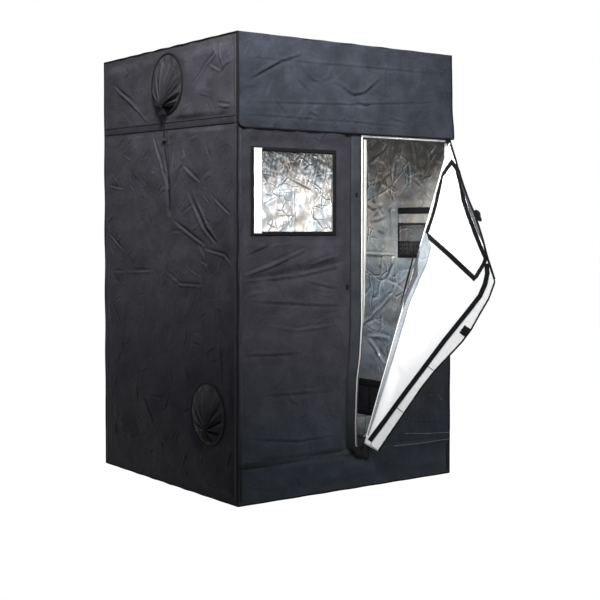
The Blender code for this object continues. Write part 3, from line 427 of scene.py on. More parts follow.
def make_tapes():
    """Tapes, cord and net, and the materials of the hard parts."""
    bright = "reflective_lining"
    # Painted shade: the pale zip hem tape darkens towards its foot.
    hem_grade = ("X", 0.0, 1.4, [(0.0, 0.25), (0.3, 0.5), (0.6, 1)])
    white = {"stitched": (0.66, 0.66, 0.69), "wear": 0.06}
    return {
        "tape": tape_finish("black_tape", "black_tape", (0.007, 0.007, 0.008), stitched=(0.02, 0.02, 0.022)),
        "band": tape_finish("seam_tape", "outer_cloth", (0.015, 0.0148, 0.017), stitched=(0.04, 0.04, 0.045)),
        "white": tape_finish("white_tape", bright, (0.98, 0.98, 0.985), 0.6, **white),
        "zip_hem": tape_finish("zip_hem_tape", bright, (0.9, 0.9, 0.91), 0.6, wear=0.06, grade=hem_grade),
        "thread": tape_finish("seam_thread", "outer_cloth", (0.14, 0.15, 0.155), 0.7),
        "cord": tape_finish("black_cord", "black_cord", (0.009, 0.009, 0.01), 0.7, mapped=False),
        "net": tape_finish("black_net", "black_net", (0.012, 0.012, 0.013), 0.7, mapped=False),
        "teeth": hard_finish("zip_teeth", (0.03, 0.03, 0.033), 0.4, "black_plastic"),
        "steel": hard_finish("coated_steel", (0.72, 0.73, 0.74), 0.35, coat=0.3),
        "plastic": hard_finish("black_plastic", (0.008, 0.008, 0.009), 0.55),
        "slider": hard_finish("slider_metal", (0.1, 0.1, 0.11), 0.35, metallic=1.0),
    }


# Meshes over a grid
def grid(us, vs):
    return np.meshgrid(us, vs, indexing="ij")


def joined(*parts):
    """Coordinates put together on the last axis."""
    return np.stack(np.broadcast_arrays(*parts), -1)


def loose_edge(points):
    """The route down one side of a hanging sheet, along its foot and up the other side."""
    return list(points[0, ::-1]) + list(points[1:, 0]) + list(points[-1, 1:])


def dress(made, body, *nodes):
    """Lets a piece ride a body and replace the nodes it stands for."""
    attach(made, body)
    if nodes:
        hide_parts(*nodes)


def lines(low, high, step, stops=()):
    """Even places from low to high, moved so that one falls on each stop."""
    marks = sorted({low, high, *[stop for stop in stops if low < stop < high]})
    places = []
    for start, end in zip(marks, marks[1:]):
        count = max(1, round((end - start) / step))
        places += list(np.linspace(start, end, count, endpoint=False))
    return np.array(places + [high])


def normals_of(points):
    """The sheet's normal at each of its points."""
    along = np.gradient(points, axis=0)
    across = np.gradient(points, axis=1)
    normal = np.cross(along, across)
    return normal / np.maximum(np.linalg.norm(normal, axis=2, keepdims=True), 1e-12)


def build(name, points, faces, uvs, kinds, face_finish=None, smooth=True):
    """An object from numpy arrays, without the points that no face uses."""
    used = np.unique(faces)
    renumber = np.full(len(points), -1)
    renumber[used] = np.arange(len(used))
    faces = renumber[faces]
    mesh = bpy.data.meshes.new(name)
    mesh.from_pydata(points[used].tolist(), [], faces.tolist())
    layer = mesh.uv_layers.new(name="cloth")
    layer.data.foreach_set("uv", uvs[used][faces].astype(np.float32).ravel())
    for kind in kinds:
        mesh.materials.append(FINISHES[kind])
    if face_finish is not None:
        mesh.polygons.foreach_set("material_index", face_finish.astype(np.int32))
    mesh.polygons.foreach_set("use_smooth", np.full(len(faces), smooth))
    mesh.update()
    made = shown(name, mesh)
    return made


def grid_quads(shape):
    index = np.arange(shape[0] * shape[1]).reshape(shape)
    return joined(index[:-1, :-1], index[1:, :-1], index[1:, 1:], index[:-1, 1:])


def single(name, points, uv, finish, keep=None):
    """An open single layer of cloth."""
    quads = grid_quads(points.shape[:2])
    quads = quads.reshape(-1, 4) if keep is None else quads[keep]
    return build(name, points.reshape(-1, 3), quads, uv.reshape(-1, 2), [finish])


def double(name, points, uv, kinds, thickness):
    """A thin closed sheet: the first finish in front, the second behind, the third on its rim."""
    normal = normals_of(points) * (thickness / 2)
    quads = grid_quads(points.shape[:2]).reshape(-1, 4)
    count = points.shape[0] * points.shape[1]
    index = np.arange(count).reshape(points.shape[:2])
    loop = np.concatenate([index[:, 0], index[-1, 1:], index[::-1, -1][1:], index[0, ::-1][1:-1]])
    after = np.roll(loop, -1)
    rim = np.stack([after, loop, loop + count, after + count], -1)
    both = np.concatenate([(points + normal).reshape(-1, 3), (points - normal).reshape(-1, 3)])
    faces = np.concatenate([quads, quads[:, ::-1] + count, rim])
    face_finish = np.repeat([0, 1, 2], [len(quads), len(quads), len(rim)])
    return build(name, both, faces, np.tile(uv.reshape(-1, 2), (2, 1)), kinds, face_finish)


# Relief of cloth
def ease(value, low, high):
    """0 at low, 1 at high, with a smooth rise between them."""
    t = np.clip((value - low) / (high - low), 0, 1)
    return t * t * (3 - 2 * t)


def billow(u, v, seed, size, height, count=12):
    """A smooth random swell, waves of about one size in all directions."""
    rng = np.random.default_rng(seed)
    total = np.zeros_like(u)
    for _ in range(count):
        turn, phase, scale = rng.uniform(0, 2 * pi), rng.uniform(0, 2 * pi), rng.uniform(0.6, 1.6)
        total += np.sin((u * cos(turn) + v * sin(turn)) * 2 * pi / (size * scale) + phase)
    return total * height / sqrt(count)


def crease(u, v, path, width, height):
    """A ridge along a path with a dip beside it, faded out at both ends."""
    path = np.array(path, float)
    spans = np.linalg.norm(np.diff(path, axis=0), axis=1)
    ends = np.concatenate([[0], np.cumsum(spans)])
    near = np.full(u.shape, 1e9)
    signed = np.zeros(u.shape)
    place = np.zeros(u.shape)
    for start, end, span, before in zip(path, path[1:], spans, ends):
        way = (end - start) / span
        du, dv = u - start[0], v - start[1]
        along = np.clip(du * way[0] + dv * way[1], 0, span)
        off = np.hypot(du - along * way[0], dv - along * way[1])
        side = np.sign(du * way[1] - dv * way[0])
        closer = off < near
        near = np.where(closer, off, near)
        signed = np.where(closer, off * side, signed)
        place = np.where(closer, before + along, place)
    fade = np.sin(pi * np.clip(place / ends[-1], 0, 1)) ** 0.6
    width = width * 0.7
    ridge = np.exp(-((signed / width) ** 2))
    dip = np.exp(-(((signed - 1.8 * width) / (1.1 * width)) ** 2))
    return height * fade * (0.8 * ridge - dip)


def strewn(u, v, seed, area, count, reach, width, height):
    """Random short creases in an area, seeded."""
    (low_u, low_v), (high_u, high_v) = area
    rng = np.random.default_rng(seed)
    total = np.zeros_like(u)
    for _ in range(count):
        middle = np.array([rng.uniform(low_u, high_u), rng.uniform(low_v, high_v)])
        turn = rng.uniform(0, pi)
        half = rng.uniform(0.4, 1.0) * reach / 2
        way = np.array([cos(turn), sin(turn)]) * half
        bend = np.array([-way[1], way[0]]) * rng.uniform(-0.25, 0.25)
        path = [middle - way, middle + bend, middle + way]
        size = width * rng.uniform(0.7, 1.4)
        tall = height * rng.uniform(-1, 1)
        close = (abs(u - middle[0]) < half + 4 * size) & (abs(v - middle[1]) < half + 4 * size)
        if close.any():
            total[close] += crease(u[close], v[close], path, size, tall)
    return total


def creased(u, v, listed, wide=1.0, tall=1.0):
    """The listed creases together: each is its width, its height and its path."""
    return sum(crease(u, v, path, width * wide, height * tall) for width, height, path in listed)


def held(u, v, low, high, reach=0.05, start=0.0):
    """0 at the edges of a rectangle, 1 well inside it."""
    edge = np.minimum.reduce([u - low[0], high[0] - u, v - low[1], high[1] - v])
    return ease(edge, start, start + reach)


def off_box(u, v, low, high, reach=0.04):
    """0 in a rectangle, 1 well outside it."""
    out_u = np.maximum.reduce([low[0] - u, u - high[0], 0 * u])
    out_v = np.maximum.reduce([low[1] - v, v - high[1], 0 * v])
    return ease(np.hypot(out_u, out_v), 0.004, reach)


def off_ring(u, v, centre, radius, reach=0.05):
    """0 in a circle, 1 well outside it."""
    return ease(np.hypot(u - centre[0], v - centre[1]), radius, radius + reach)


# Creases seen in the photographed cloth: width, height and path in the sheet's own two coordinates
LEFT_CREASES = [
    (0.009, 0.007, [(0.486, 1.872), (0.3, 1.77), (0.123, 1.655)]),
    (0.008, 0.005, [(0.123, 1.622), (0.04, 1.49), (-0.031, 1.363)]),
    (0.008, 0.005, [(-0.121, 1.595), (-0.169, 1.504), (-0.081, 1.375)]),
    (0.008, 0.005, [(-0.035, 1.61), (-0.033, 1.357)]),
    (0.007, 0.004, [(-0.079, 1.582), (-0.051, 1.365)]),
    (0.008, 0.006, [(-0.167, 1.452), (-0.303, 1.38)]),
    (0.008, 0.007, [(-0.192, 1.339), (-0.335, 1.183), (-0.437, 1.11)]),
    (0.008, -0.006, [(-0.227, 1.338), (-0.377, 1.178), (-0.457, 1.114)]),
    (0.008, 0.006, [(-0.08, 1.208), (-0.357, 1.097)]),
    (0.008, 0.005, [(-0.255, 1.803), (-0.372, 1.895), (-0.461, 1.939)]),
    (0.007, 0.004, [(-0.384, 1.888), (-0.475, 1.848)]),
    (0.007, 0.004, [(-0.452, 1.71), (-0.562, 1.692)]),
    (0.007, 0.004, [(-0.405, 1.317), (-0.57, 1.222)]),
    (0.007, 0.005, [(-0.343, 1.086), (-0.505, 1.063), (-0.58, 1.003)]),
    (0.008, 0.004, [(0.52, 0.961), (0.09, 0.978)]),
    (0.008, 0.005, [(-0.441, 0.945), (-0.472, 0.679), (-0.479, 0.507)]),
    (0.007, 0.005, [(0.202, 0.384), (0.095, 0.264)]),
    (0.007, 0.004, [(0.181, 0.387), (-0.035, 0.388)]),
    (0.007, 0.005, [(0.55, 1.149), (0.394, 1.067)]),
    (0.007, 0.004, [(0.548, 1.387), (0.391, 1.368)]),
    (0.007, 0.005, [(0.532, 0.826), (0.429, 0.684)]),
    (0.007, 0.004, [(-0.128, 0.925), (-0.343, 0.924)]),
]
BROW_CREASES = [
    (0.009, 0.006, [(-0.556, 1.814), (-0.401, 1.898), (-0.273, 1.943)]),
    (0.009, 0.005, [(-0.276, 1.893), (-0.226, 1.837), (-0.175, 1.821)]),
    (0.008, 0.005, [(-0.327, 1.891), (-0.3, 1.833), (-0.23, 1.777)]),
    (0.01, 0.006, [(-0.091, 1.835), (0.006, 1.786), (0.068, 1.797), (0.157, 1.867)]),
    (0.008, 0.005, [(0.015, 1.753), (0.104, 1.741)]),
    (0.008, 0.005, [(-0.414, 1.732), (-0.366, 1.683)]),
    (0.008, 0.004, [(0.218, 1.693), (0.315, 1.675)]),
    (0.007, 0.005, [(-0.23, 1.69), (-0.186, 1.675)]),
    (0.006, 0.003, [(-0.58, 1.716), (0.0, 1.74), (0.58, 1.786)]),
    (0.006, 0.003, [(-0.58, 1.664), (0.0, 1.664), (0.3, 1.655)]),
    (0.006, 0.003, [(-0.58, 1.905), (0.58, 1.918)]),
]
FRONT_CREASES = [
    (0.007, -0.009, [(-0.595, 0.985), (-0.43, 1.035), (-0.25, 1.1)]),
    (0.007, -0.009, [(-0.57, 0.965), (-0.3, 0.985), (-0.02, 1.03)]),
    (0.04, 0.008, [(-0.6, 0.975), (-0.3, 1.03), (0.03, 1.08)]),
    (0.006, -0.005, [(-0.5, 1.11), (-0.3, 1.125)]),
    (0.006, 0.005, [(-0.59, 1.06), (-0.45, 1.115), (-0.36, 1.13)]),
    (0.006, 0.005, [(-0.25, 0.95), (-0.08, 0.915)]),
    (0.006, -0.005, [(-0.45, 0.77), (-0.3, 0.745), (-0.1, 0.76)]),
    (0.006, 0.006, [(-0.55, 0.29), (-0.3, 0.255), (-0.1, 0.26)]),
    (0.006, 0.005, [(-0.58, 0.08), (-0.4, 0.05)]),
    (0.007, 0.005, [(-0.597, 1.418), (-0.536, 1.411)]),
    (0.007, 0.005, [(-0.597, 1.363), (-0.541, 1.356)]),
    (0.008, 0.004, [(-0.59, 0.879), (-0.03, 0.836)]),
    (0.008, 0.004, [(-0.59, 0.646), (-0.284, 0.64)]),
    (0.008, 0.004, [(-0.496, 0.469), (-0.118, 0.46)]),
]
RIGHT_LINING_CREASES = [
    (0.008, 0.009, [(0.056, 0.67), (-0.106, 0.773), (-0.192, 0.843)]),
    (0.008, 0.009, [(0.015, 0.615), (-0.08, 0.62), (-0.17, 0.613)]),
    (0.008, 0.007, [(0.015, 0.61), (-0.06, 0.55), (-0.123, 0.48)]),
    (0.006, 0.007, [(0.2, 1.045), (-0.1, 1.04), (-0.35, 1.035)]),
    (0.009, 0.008, [(0.06, 1.5), (-0.1, 1.56), (-0.16, 1.6)]),
    (0.008, 0.007, [(0.05, 1.31), (-0.03, 1.28), (-0.12, 1.29)]),
]
LOWER_DOOR_CREASES = [
    (0.005, 0.006, [(0.23, 0.166), (0.42, 0.172), (0.604, 0.172)]),
    (0.006, 0.007, [(0.26, 0.226), (0.43, 0.21), (0.604, 0.192)]),
    (0.007, 0.005, [(0.32, 0.29), (0.46, 0.272), (0.6, 0.262)]),
    (0.009, 0.005, [(0.3, 0.5), (0.44, 0.61), (0.5, 0.7)]),
    (0.009, 0.005, [(0.4, 0.35), (0.52, 0.44), (0.6, 0.47)]),
]
DOOR_CREASES = [
    (0.012, 0.006, [(0.085, 0.27), (0.17, 0.5), (0.28, 0.8)]),
    (0.012, 0.005, [(0.24, 0.76), (0.31, 0.93), (0.4, 1.13)]),
    (0.006, 0.008, [(0.34, 1.22), (0.31, 1.13), (0.29, 1.05)]),
    (0.006, 0.008, [(0.26, 1.28), (0.2, 1.2), (0.15, 1.12)]),
]
PANE_CREASES = [
    (0.005, 0.006, [(-0.315, 1.36), (-0.312, 1.175)]),
    (0.005, 0.006, [(-0.33, 1.40), (-0.2, 1.345)]),
]


def off_ports(u, v, *centres):
    """0 where sleeves are sewn on, 1 well away from them."""
    return np.prod([off_ring(u, v, centre, HEM_RADIUS) for centre in centres], axis=0)


def wall_relief(u, v, seed, edges, listed=(), free=1.0, depth=0.0045):
    """Outward relief of a wall's cloth; free is 0 where something is sewn on."""
    relief = billow(u, v, seed, 0.5, depth) + billow(u, v, seed + 1, 0.16, 0.0018)
    relief = relief + creased(u, v, listed, 1.0, 1.1)
    relief += strewn(u, v, seed + 2, edges, 60, 0.2, 0.0075, 0.004)
    relief += strewn(u, v, seed + 3, edges, 360, 0.09, 0.005, 0.0036)
    return np.clip(relief + 0.005, -0.0004, 0.015) * held(u, v, *edges, start=0.022) * free


def lining_relief(u, v, seed, edges, free=1.0, listed=()):
    """Inward relief of a wall's crumpled lining."""
    relief = billow(u, v, seed, 0.35, 0.003) + billow(u, v, seed + 1, 0.09, 0.0016)
    relief += strewn(u, v, seed + 2, edges, 150, 0.18, 0.012, 0.006)
    relief += strewn(u, v, seed + 3, edges, 200, 0.1, 0.009, 0.004)
    relief = relief + creased(u, v, listed, 1.6, 1.3)
    return np.clip(relief + 0.005, 0.0, 0.013) * held(u, v, *edges) * free


def snap_round(u, v, keep, centre, radius):
    """Moves the points on the edge of a round gap onto its circle."""
    around = np.zeros(u.shape, bool)
    for i, j in ((0, 0), (1, 0), (0, 1), (1, 1)):
        around[i : u.shape[0] - 1 + i, j : u.shape[1] - 1 + j] |= ~keep
    far = np.hypot(u - centre[0], v - centre[1])
    move = around & (far < radius * 1.3)
    safe = np.maximum(far, 1e-6)
    u[move] = centre[0] + (u[move] - centre[0]) * radius / safe[move]
    v[move] = centre[1] + (v[move] - centre[1]) * radius / safe[move]


def wall(name, us, vs, side, relief, finish, ports=(), gaps=(), nodes=()):
    """A flat wall of cloth. side turns (u, v, outward) into points, and gaps are cut out of it."""
    u, v = grid(us, vs)
    mid_u, mid_v = (u[:-1, :-1] + u[1:, 1:]) / 2, (v[:-1, :-1] + v[1:, 1:]) / 2
    keep = np.ones(mid_u.shape, bool)
    width, height = us[-1] - us[0], vs[-1] - vs[0]
    area = width * height - len(ports) * pi * PORT_RADIUS**2
    for low, high in gaps:
        keep &= ~((mid_u > low[0]) & (mid_u < high[0]) & (mid_v > low[1]) & (mid_v < high[1]))
        area -= (high[0] - low[0]) * (high[1] - low[1])
    for centre in ports:
        keep &= np.hypot(mid_u - centre[0], mid_v - centre[1]) >= PORT_RADIUS
    for centre in ports:
        snap_round(u, v, keep, centre, PORT_RADIUS)
    made = single(name, side(u, v, relief(u, v)), joined(u, v), finish, keep)
    dress(made, "tent", *nodes)


def face(axis, place, sign):
    """Points of an upright or level plane from two coordinates and the distance outward."""
    origin, across, up, out = np.zeros((4, 3))
    origin[axis], out[axis] = place, sign
    first, second = [other for other in (0, 1, 2) if other != axis]
    across[first], up[second] = 1, 1

    def points(u, v, lift):
        return origin + u[..., None] * across + v[..., None] * up + np.asarray(lift)[..., None] * out

    return points


def strip(name, place, path, width, finish, lift=0.0, thickness=0.0012, crown=0.0, step=0.005, body="tent"):
    """A flat tape along a path of two-coordinate places, mitred where it bends.

    Its width is a number, or one for each place."""
    path = np.array(path, float)
    ways = np.diff(path, axis=0)
    spans = np.linalg.norm(ways, axis=1)
    ways = ways / spans[:, None]
    before, after = np.concatenate([ways[:1], ways]), np.concatenate([ways, ways[-1:]])
    middle = before + after
    middle /= np.linalg.norm(middle, axis=1, keepdims=True)
    sides = joined(-middle[:, 1], middle[:, 0]) / np.maximum((middle * after).sum(1), 0.4)[:, None]
    sofar = np.concatenate([[0], np.cumsum(spans)])
    wide = np.broadcast_to(width, sofar.shape)
    sides = sides * wide[:, None] / 2
    places = lines(0.0, sofar[-1], step, sofar[1:-1])
    centre = joined(*(np.interp(places, sofar, part) for part in path.T))
    side = joined(*(np.interp(places, sofar, part) for part in sides.T))
    across = np.linspace(-1, 1, 5)
    spots = centre[:, None] + side[:, None] * across[:, None]
    rise = np.broadcast_to(lift + crown * (1 - across**2), spots.shape[:2])
    near = (1 - np.abs(across)) * np.interp(places, sofar, wide)[:, None] / 2
    uv = joined(places[:, None], near)
    made = double(name, place(spots[..., 0], spots[..., 1], rise), uv, [finish] * 3, thickness)
    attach(made, body)
    return made


def seam_height(y):
    """The height of the seam band's middle on the side walls, which sags towards the front."""
    return SEAM_FRONT + (SEAM_BACK - SEAM_FRONT) * (np.asarray(y) - FRONT) / (BACK - FRONT)


def off_seam(height, seam=SEAM_BACK):
    """0 on the seam band, 1 well away from it."""
    return ease(np.abs(height - seam), 0.018, 0.045)


def add_walls():
    """The outer cloth of the side walls, back, roof and floor, with its seams."""
    tall = lines(LOW, HIGH, 0.0065, VENT_HEIGHTS)
    wide, deep = lines(-SIDE, SIDE, 0.008), lines(FRONT, BACK, 0.008)
    edges = ((FRONT, LOW), (BACK, HIGH))
    left, right, back = face(0, -SIDE, -1), face(0, SIDE, 1), face(1, BACK, 1)

    def left_relief(u, v):
        heights = [1.279, 1.321, 1.367, 1.448, 1.531, 1.6, 1.7]
        line = np.interp(v, heights, [-0.041, -0.044, -0.0415, -0.029, -0.014, -0.008, -0.02])
        by_cord = (1 - ease(np.abs(u - line), 0.006, 0.026)) * (1 - ease(np.abs(v - 1.49), 0.23, 0.26))
        free = off_ports(u, v, UPPER_PORT, LOWER_PORT) * (1 - by_cord) * off_seam(v, seam_height(u))
        return wall_relief(u, v, 11, edges, LEFT_CREASES, free)

    def right_relief(u, v):
        free = off_ports(u, v, UPPER_PORT) * off_box(u, v, (-0.22, 0.18), (0.22, 0.42))
        return wall_relief(u, v, 23, edges, free=free * off_seam(v, seam_height(u)))

    def back_relief(u, v):
        return wall_relief(u, v, 37, ((-SIDE, LOW), (SIDE, HIGH)), free=off_seam(v))

    def roof_relief(u, v):
        return wall_relief(u, v, 41, ((-SIDE, FRONT), (SIDE, BACK)), depth=0.002) * 0.8

    left_deep, left_tall = lines(FRONT, BACK, 0.0048), lines(LOW, HIGH, 0.0048)
    ports = (UPPER_PORT, LOWER_PORT)
    wall("left_cloth", left_deep, left_tall, left, left_relief, "left", ports, nodes=("left_wall",))
    right_deep = lines(FRONT, BACK, 0.0065, VENT_DEPTHS)
    ports = (UPPER_PORT,)
    wall("right_cloth", right_deep, tall, right, right_relief, "outer", ports, (VENT,), ("right_wall",))
    wall("back_cloth", wide, tall, back, back_relief, "outer", nodes=("back_wall",))
    sides = (
        ("left", left, BACK, SEAM_FRONT),
        ("right", right, BACK, SEAM_FRONT),
        ("back", back, SIDE, SEAM_BACK),
    )
    for name, place, end, height in sides:
        route = np.array([(0.008 - end, height), (end - 0.008, SEAM_BACK)])
        strip(f"{name}_seam_band", place, route, 0.034, "middle", 0.0006, 0.001, 0.0006)
        for count, off in enumerate((-0.0145, 0.0145)):
            strip(f"{name}_seam_welt_{count}", place, route + (0, off), 0.0055, "band", 0.0016, 0.001, 0.0012)
        for count, spot in enumerate((0.016 - end, end - 0.016)):
            run = [(spot, 0.02), (spot, TOP - 0.02)]
            strip(f"{name}_corner_seam_{count}", place, run, 0.013, "outer", 0.0008, 0.001, 0.0008)
    wall("roof_cloth", wide, deep, face(2, TOP - 0.001, 1), roof_relief, "outer", nodes=("roof_panel",))
    wide, deep = lines(-SIDE, SIDE, 0.02), lines(FRONT, BACK, 0.02)
    wall("floor_cloth", wide, deep, face(2, 0.0012, 1), lambda u, v: 0 * u, "outer", nodes=("floor_panel",))


def add_linings():
    """The crumpled lining inside the walls and the roof, with the vent, the organiser and the tray."""
    edges = ((-BACK_IN, LOW), (BACK_IN, HIGH))
    wide = lines(-SIDE_IN, SIDE_IN, 0.01)
    tall = lines(LOW, HIGH, 0.01, VENT_HEIGHTS)
    right = face(0, SIDE_IN, -1)

    def left_relief(u, v):
        return lining_relief(u, v, 51, edges, off_ports(u, v, UPPER_PORT, LOWER_PORT))

    def right_relief(u, v):
        free = off_ports(u, v, UPPER_PORT) * off_box(u, v, (-0.21, 0.19), (0.21, 0.41))
        free = free * off_box(u, v, (-0.53, 1.02), (-0.21, 1.3))
        return lining_relief(u, v, 61, edges, free, RIGHT_LINING_CREASES)

    def back_relief(u, v):
        return lining_relief(u, v, 71, ((-SIDE_IN, LOW), (SIDE_IN, HIGH)))

    def roof_relief(u, v):
        return lining_relief(u, v, 81, ((-SIDE_IN, -BACK_IN), (SIDE_IN, BACK_IN)))

    deep = lines(-BACK_IN, BACK_IN, 0.01, VENT_DEPTHS)
    wall("left_lining", deep, tall, face(0, -SIDE_IN, 1), left_relief, "lining", (UPPER_PORT, LOWER_PORT))
    fine_deep = lines(-BACK_IN, BACK_IN, 0.0055, VENT_DEPTHS)
    fine_tall = lines(LOW, HIGH, 0.0055, VENT_HEIGHTS)
    wall("right_lining", fine_deep, fine_tall, right, right_relief, "lining", (UPPER_PORT,), (VENT,))
    wall("back_lining", wide, tall, face(1, BACK_IN, -1), back_relief, "lining")
    roof_deep = lines(-BACK_IN, BACK_IN, 0.012)
    wall("roof_lining", wide, roof_deep, face(2, TOP - 0.0025, -1), roof_relief, "lining")
    add_tray()
    add_vent(right)
    add_pouch()


def net(name, surface, low, high, pitch, thread):
    """Crossing threads over a curved place: surface turns (u, v) into points."""
    routes = []
    for u in np.arange(low[0] + pitch / 2, high[0], pitch):
        routes.append(surface(np.full(28, u), np.linspace(low[1], high[1], 28)))
    for v in np.arange(low[1] + pitch / 2, high[1], pitch):
        routes.append(surface(np.linspace(low[0], high[0], 44), np.full(44, v)))
    return piping(name, routes, thread / 2, "net", roundness=0)


def add_vent(place):
    """The vent's fine net in the right wall and the tape frame that holds it, seen from inside."""
    (y0, z0), (y1, z1) = VENT
    past = 0.004

    def sagging(u, v):
        across, up = np.clip((u - y0) / (y1 - y0), 0, 1), np.clip((v - z0) / (z1 - z0), 0, 1)
        return place(u, v, 0.001 + 0.004 * np.sin(pi * across) * np.sin(pi * up))

    mesh = net("vent_mesh", sagging, (y0 - past, z0 - past), (y1 + past, z1 + past), 0.0034, 0.0011)
    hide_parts("vent_net")
    tapes = (
        ("head_tape", 0.036, 0.0024, [(y0 - 0.02, z1 + 0.012), (y1 + 0.02, z1 + 0.012)]),
        ("sill_tape", 0.028, 0.0024, [(y0 - 0.02, z0 - 0.008), (y1 + 0.02, z0 - 0.008)]),
        ("side_tape_0", 0.022, 0.0018, [(y0 - 0.008, z0), (y0 - 0.008, z1)]),
        ("side_tape_1", 0.022, 0.0018, [(y1 + 0.008, z0), (y1 + 0.008, z1)]),
        ("middle_tape", 0.016, 0.0018, [(0.0, z0), (0.0, (z0 + z1) / 2), (0.0, z1)]),
    )
    for name, width, lift, path in tapes:
        strip("vent_" + name, place, path, width, "tape", lift, 0.001, 0.001)
    add_vent_cover()


def add_vent_cover():
    """The flap of cloth that hangs over the vent outside, bound on its loose edges."""
    (x0, y0, z0), (x1, y1, z1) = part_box("vent_cover")
    u, v = grid(lines(y0, y1, 0.006), lines(z0, z1, 0.006))
    relief = billow(u, v, 431, 0.3, 0.0016) + billow(u, v, 432, 0.1, 0.0008)
    relief += strewn(u, v, 433, ((y0, z0), (y1, z1)), 25, 0.1, 0.008, 0.003)
    lift = np.clip(relief + 0.002, 0.0, 0.007) * ease(z1 - v, 0.0, 0.05)
    points = joined((x0 + x1) / 2 + 0.0004 + lift, u, v)
    made = double("vent_cover_cloth", points, joined(u, v), ["outer", "outer", "tape"], 0.0014)
    dress(made, "cover", "vent_cover")
    piping("vent_cover_binding", [loose_edge(points)], 0.0025, "tape", "cover")
    seam = [(y0 + 0.004, z1 - 0.008), (y1 - 0.004, z1 - 0.008)]
    strip("vent_cover_seam", face(0, (x0 + x1) / 2, 1), seam, 0.014, "band", 0.0016, 0.001, 0.001)


def add_tray():
    """The loose spill tray: coated cloth folded up into four walls with a hem round the top."""
    (x0, y0, z0), (x1, y1, z1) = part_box("spill_tray")
    width, length, deep, corner, power = x1 - x0, y1 - y0, z1 - z0, 0.02, 14
    turns = np.linspace(0, 2 * pi, 321)
    way = joined(np.cos(turns), np.sin(turns))
    shares = np.abs(way) / (np.array([width, length]) / 2 - 0.002)
    rim = way / ((shares**power).sum(1) ** (1 / power))[:, None]
    rows = [(s, 0.0) for s in np.linspace(0.02, 0.985, 40)]
    rows += [(0.985 + 0.015 * sin(a), corner * (1 - cos(a)) * 0.6) for a in np.linspace(0.3, pi / 2, 5)]
    rows += [(1.0, z) for z in np.linspace(0.018, deep - 0.001, 12)]
    middle = np.array([(x0 + x1) / 2, (y0 + y1) / 2])
    points = []
    for share, height in rows:
        flat = middle + rim * share
        up = height > 0
        wave_height = np.abs(billow(flat[:, 0], flat[:, 1], 441, 0.3, 0.0012) * (0.6 + 0.4 * up))
        level = z0 + 0.0012 + height + wave_height * (not up)
        points.append(np.column_stack([flat - way * wave_height[:, None] * up, level]))
    points = np.array(points)
    uv = joined((turns * 0.75)[None, :], 0.015 * np.arange(len(rows))[:, None])
    made = double("spill_tray_cloth", points, uv, ["tray", "tray", "tape"], 0.0014)
    dress(made, "tent", "spill_tray")
    flat = (width + 2 * deep, length + 2 * deep)
    piping("spill_tray_hem", [points[-1, :-1]], 0.003, "tape", closed=True)


def add_pouch():
    """The organiser on the right wall inside: a slack net pocket with hems, and a band above it."""
    (y0, z0), (y1, z1) = (-0.472, 1.034), (-0.228, 1.206)

    def pocket(u, v, off=0.0):
        s, t = np.clip((u - y0) / (y1 - y0), 0, 1), np.clip((v - z0) / (z1 - z0), 0, 1)
        belly = np.sin(pi * s) ** 0.6 * np.minimum(1, t / 0.16) ** 0.5 * (1 - 0.55 * t)
        ripple = 0.0012 * np.sin(9 * pi * s) * t
        return joined(SIDE_IN - 0.0023 - 0.028 * belly - ripple - off, u, v)

    def slack(u, v):
        return pocket(u, v, -0.003)

    mesh = net("organiser_mesh", pocket, (y0, z0), (y1, z1), 0.0036, 0.0008)
    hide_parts("organiser_pouch")
    net("organiser_slack", slack, (y0, z0), (y1, z0 + 0.085), 0.0031, 0.0013)
    hems = (
        ("hem", (y0, z1 - 0.004), (y1, z1 - 0.004), 0.012, "net"),
        ("foot", (y0, z0 + 0.011), (y1, z0 + 0.011), 0.02, "tape"),
        ("side_0", (y0 + 0.004, z0), (y0 + 0.004, z1), 0.01, "tape"),
        ("side_1", (y1 - 0.004, z0), (y1 - 0.004, z1), 0.01, "tape"),
    )
    for name, start, end, width, finish in hems:
        strip("organiser_" + name, pocket, [start, end], width, finish, 0.0012)
    band = [(-0.524, 1.27), (-0.226, 1.27)]
    made = strip("organiser_band", face(0, 0.6066, -1), band, 0.031, "tape", 0.0004, 0.0012, 0.0022)
    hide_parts("organiser_strip")


def door_drift(height):
    """How far the opening's edge is drawn to the left near its foot."""
    heights = [0.156, 0.2, 0.3, 0.42, 0.5, 0.6, 0.75]
    return np.interp(height, heights, [-0.012, -0.034, -0.036, -0.032, -0.027, -0.011, 0.0])


def on_front(u, v, lift):
    """Points of the front wall, drawn with the opening's edge."""
    pull = ease(u, -0.12, DOOR_LEFT) * (u <= DOOR_LEFT + 1e-6)
    moved = u + door_drift(v) * pull
    return joined(moved, FRONT - np.asarray(lift), v)


def off_window(u, v, margin):
    """0 on the window and its tape, 1 well outside it."""
    (x0, z0), (x1, z1) = WINDOW_LOW, WINDOW_HIGH
    return off_box(u, v, (x0 - margin, z0 - margin), (x1 + margin, z1 + margin))


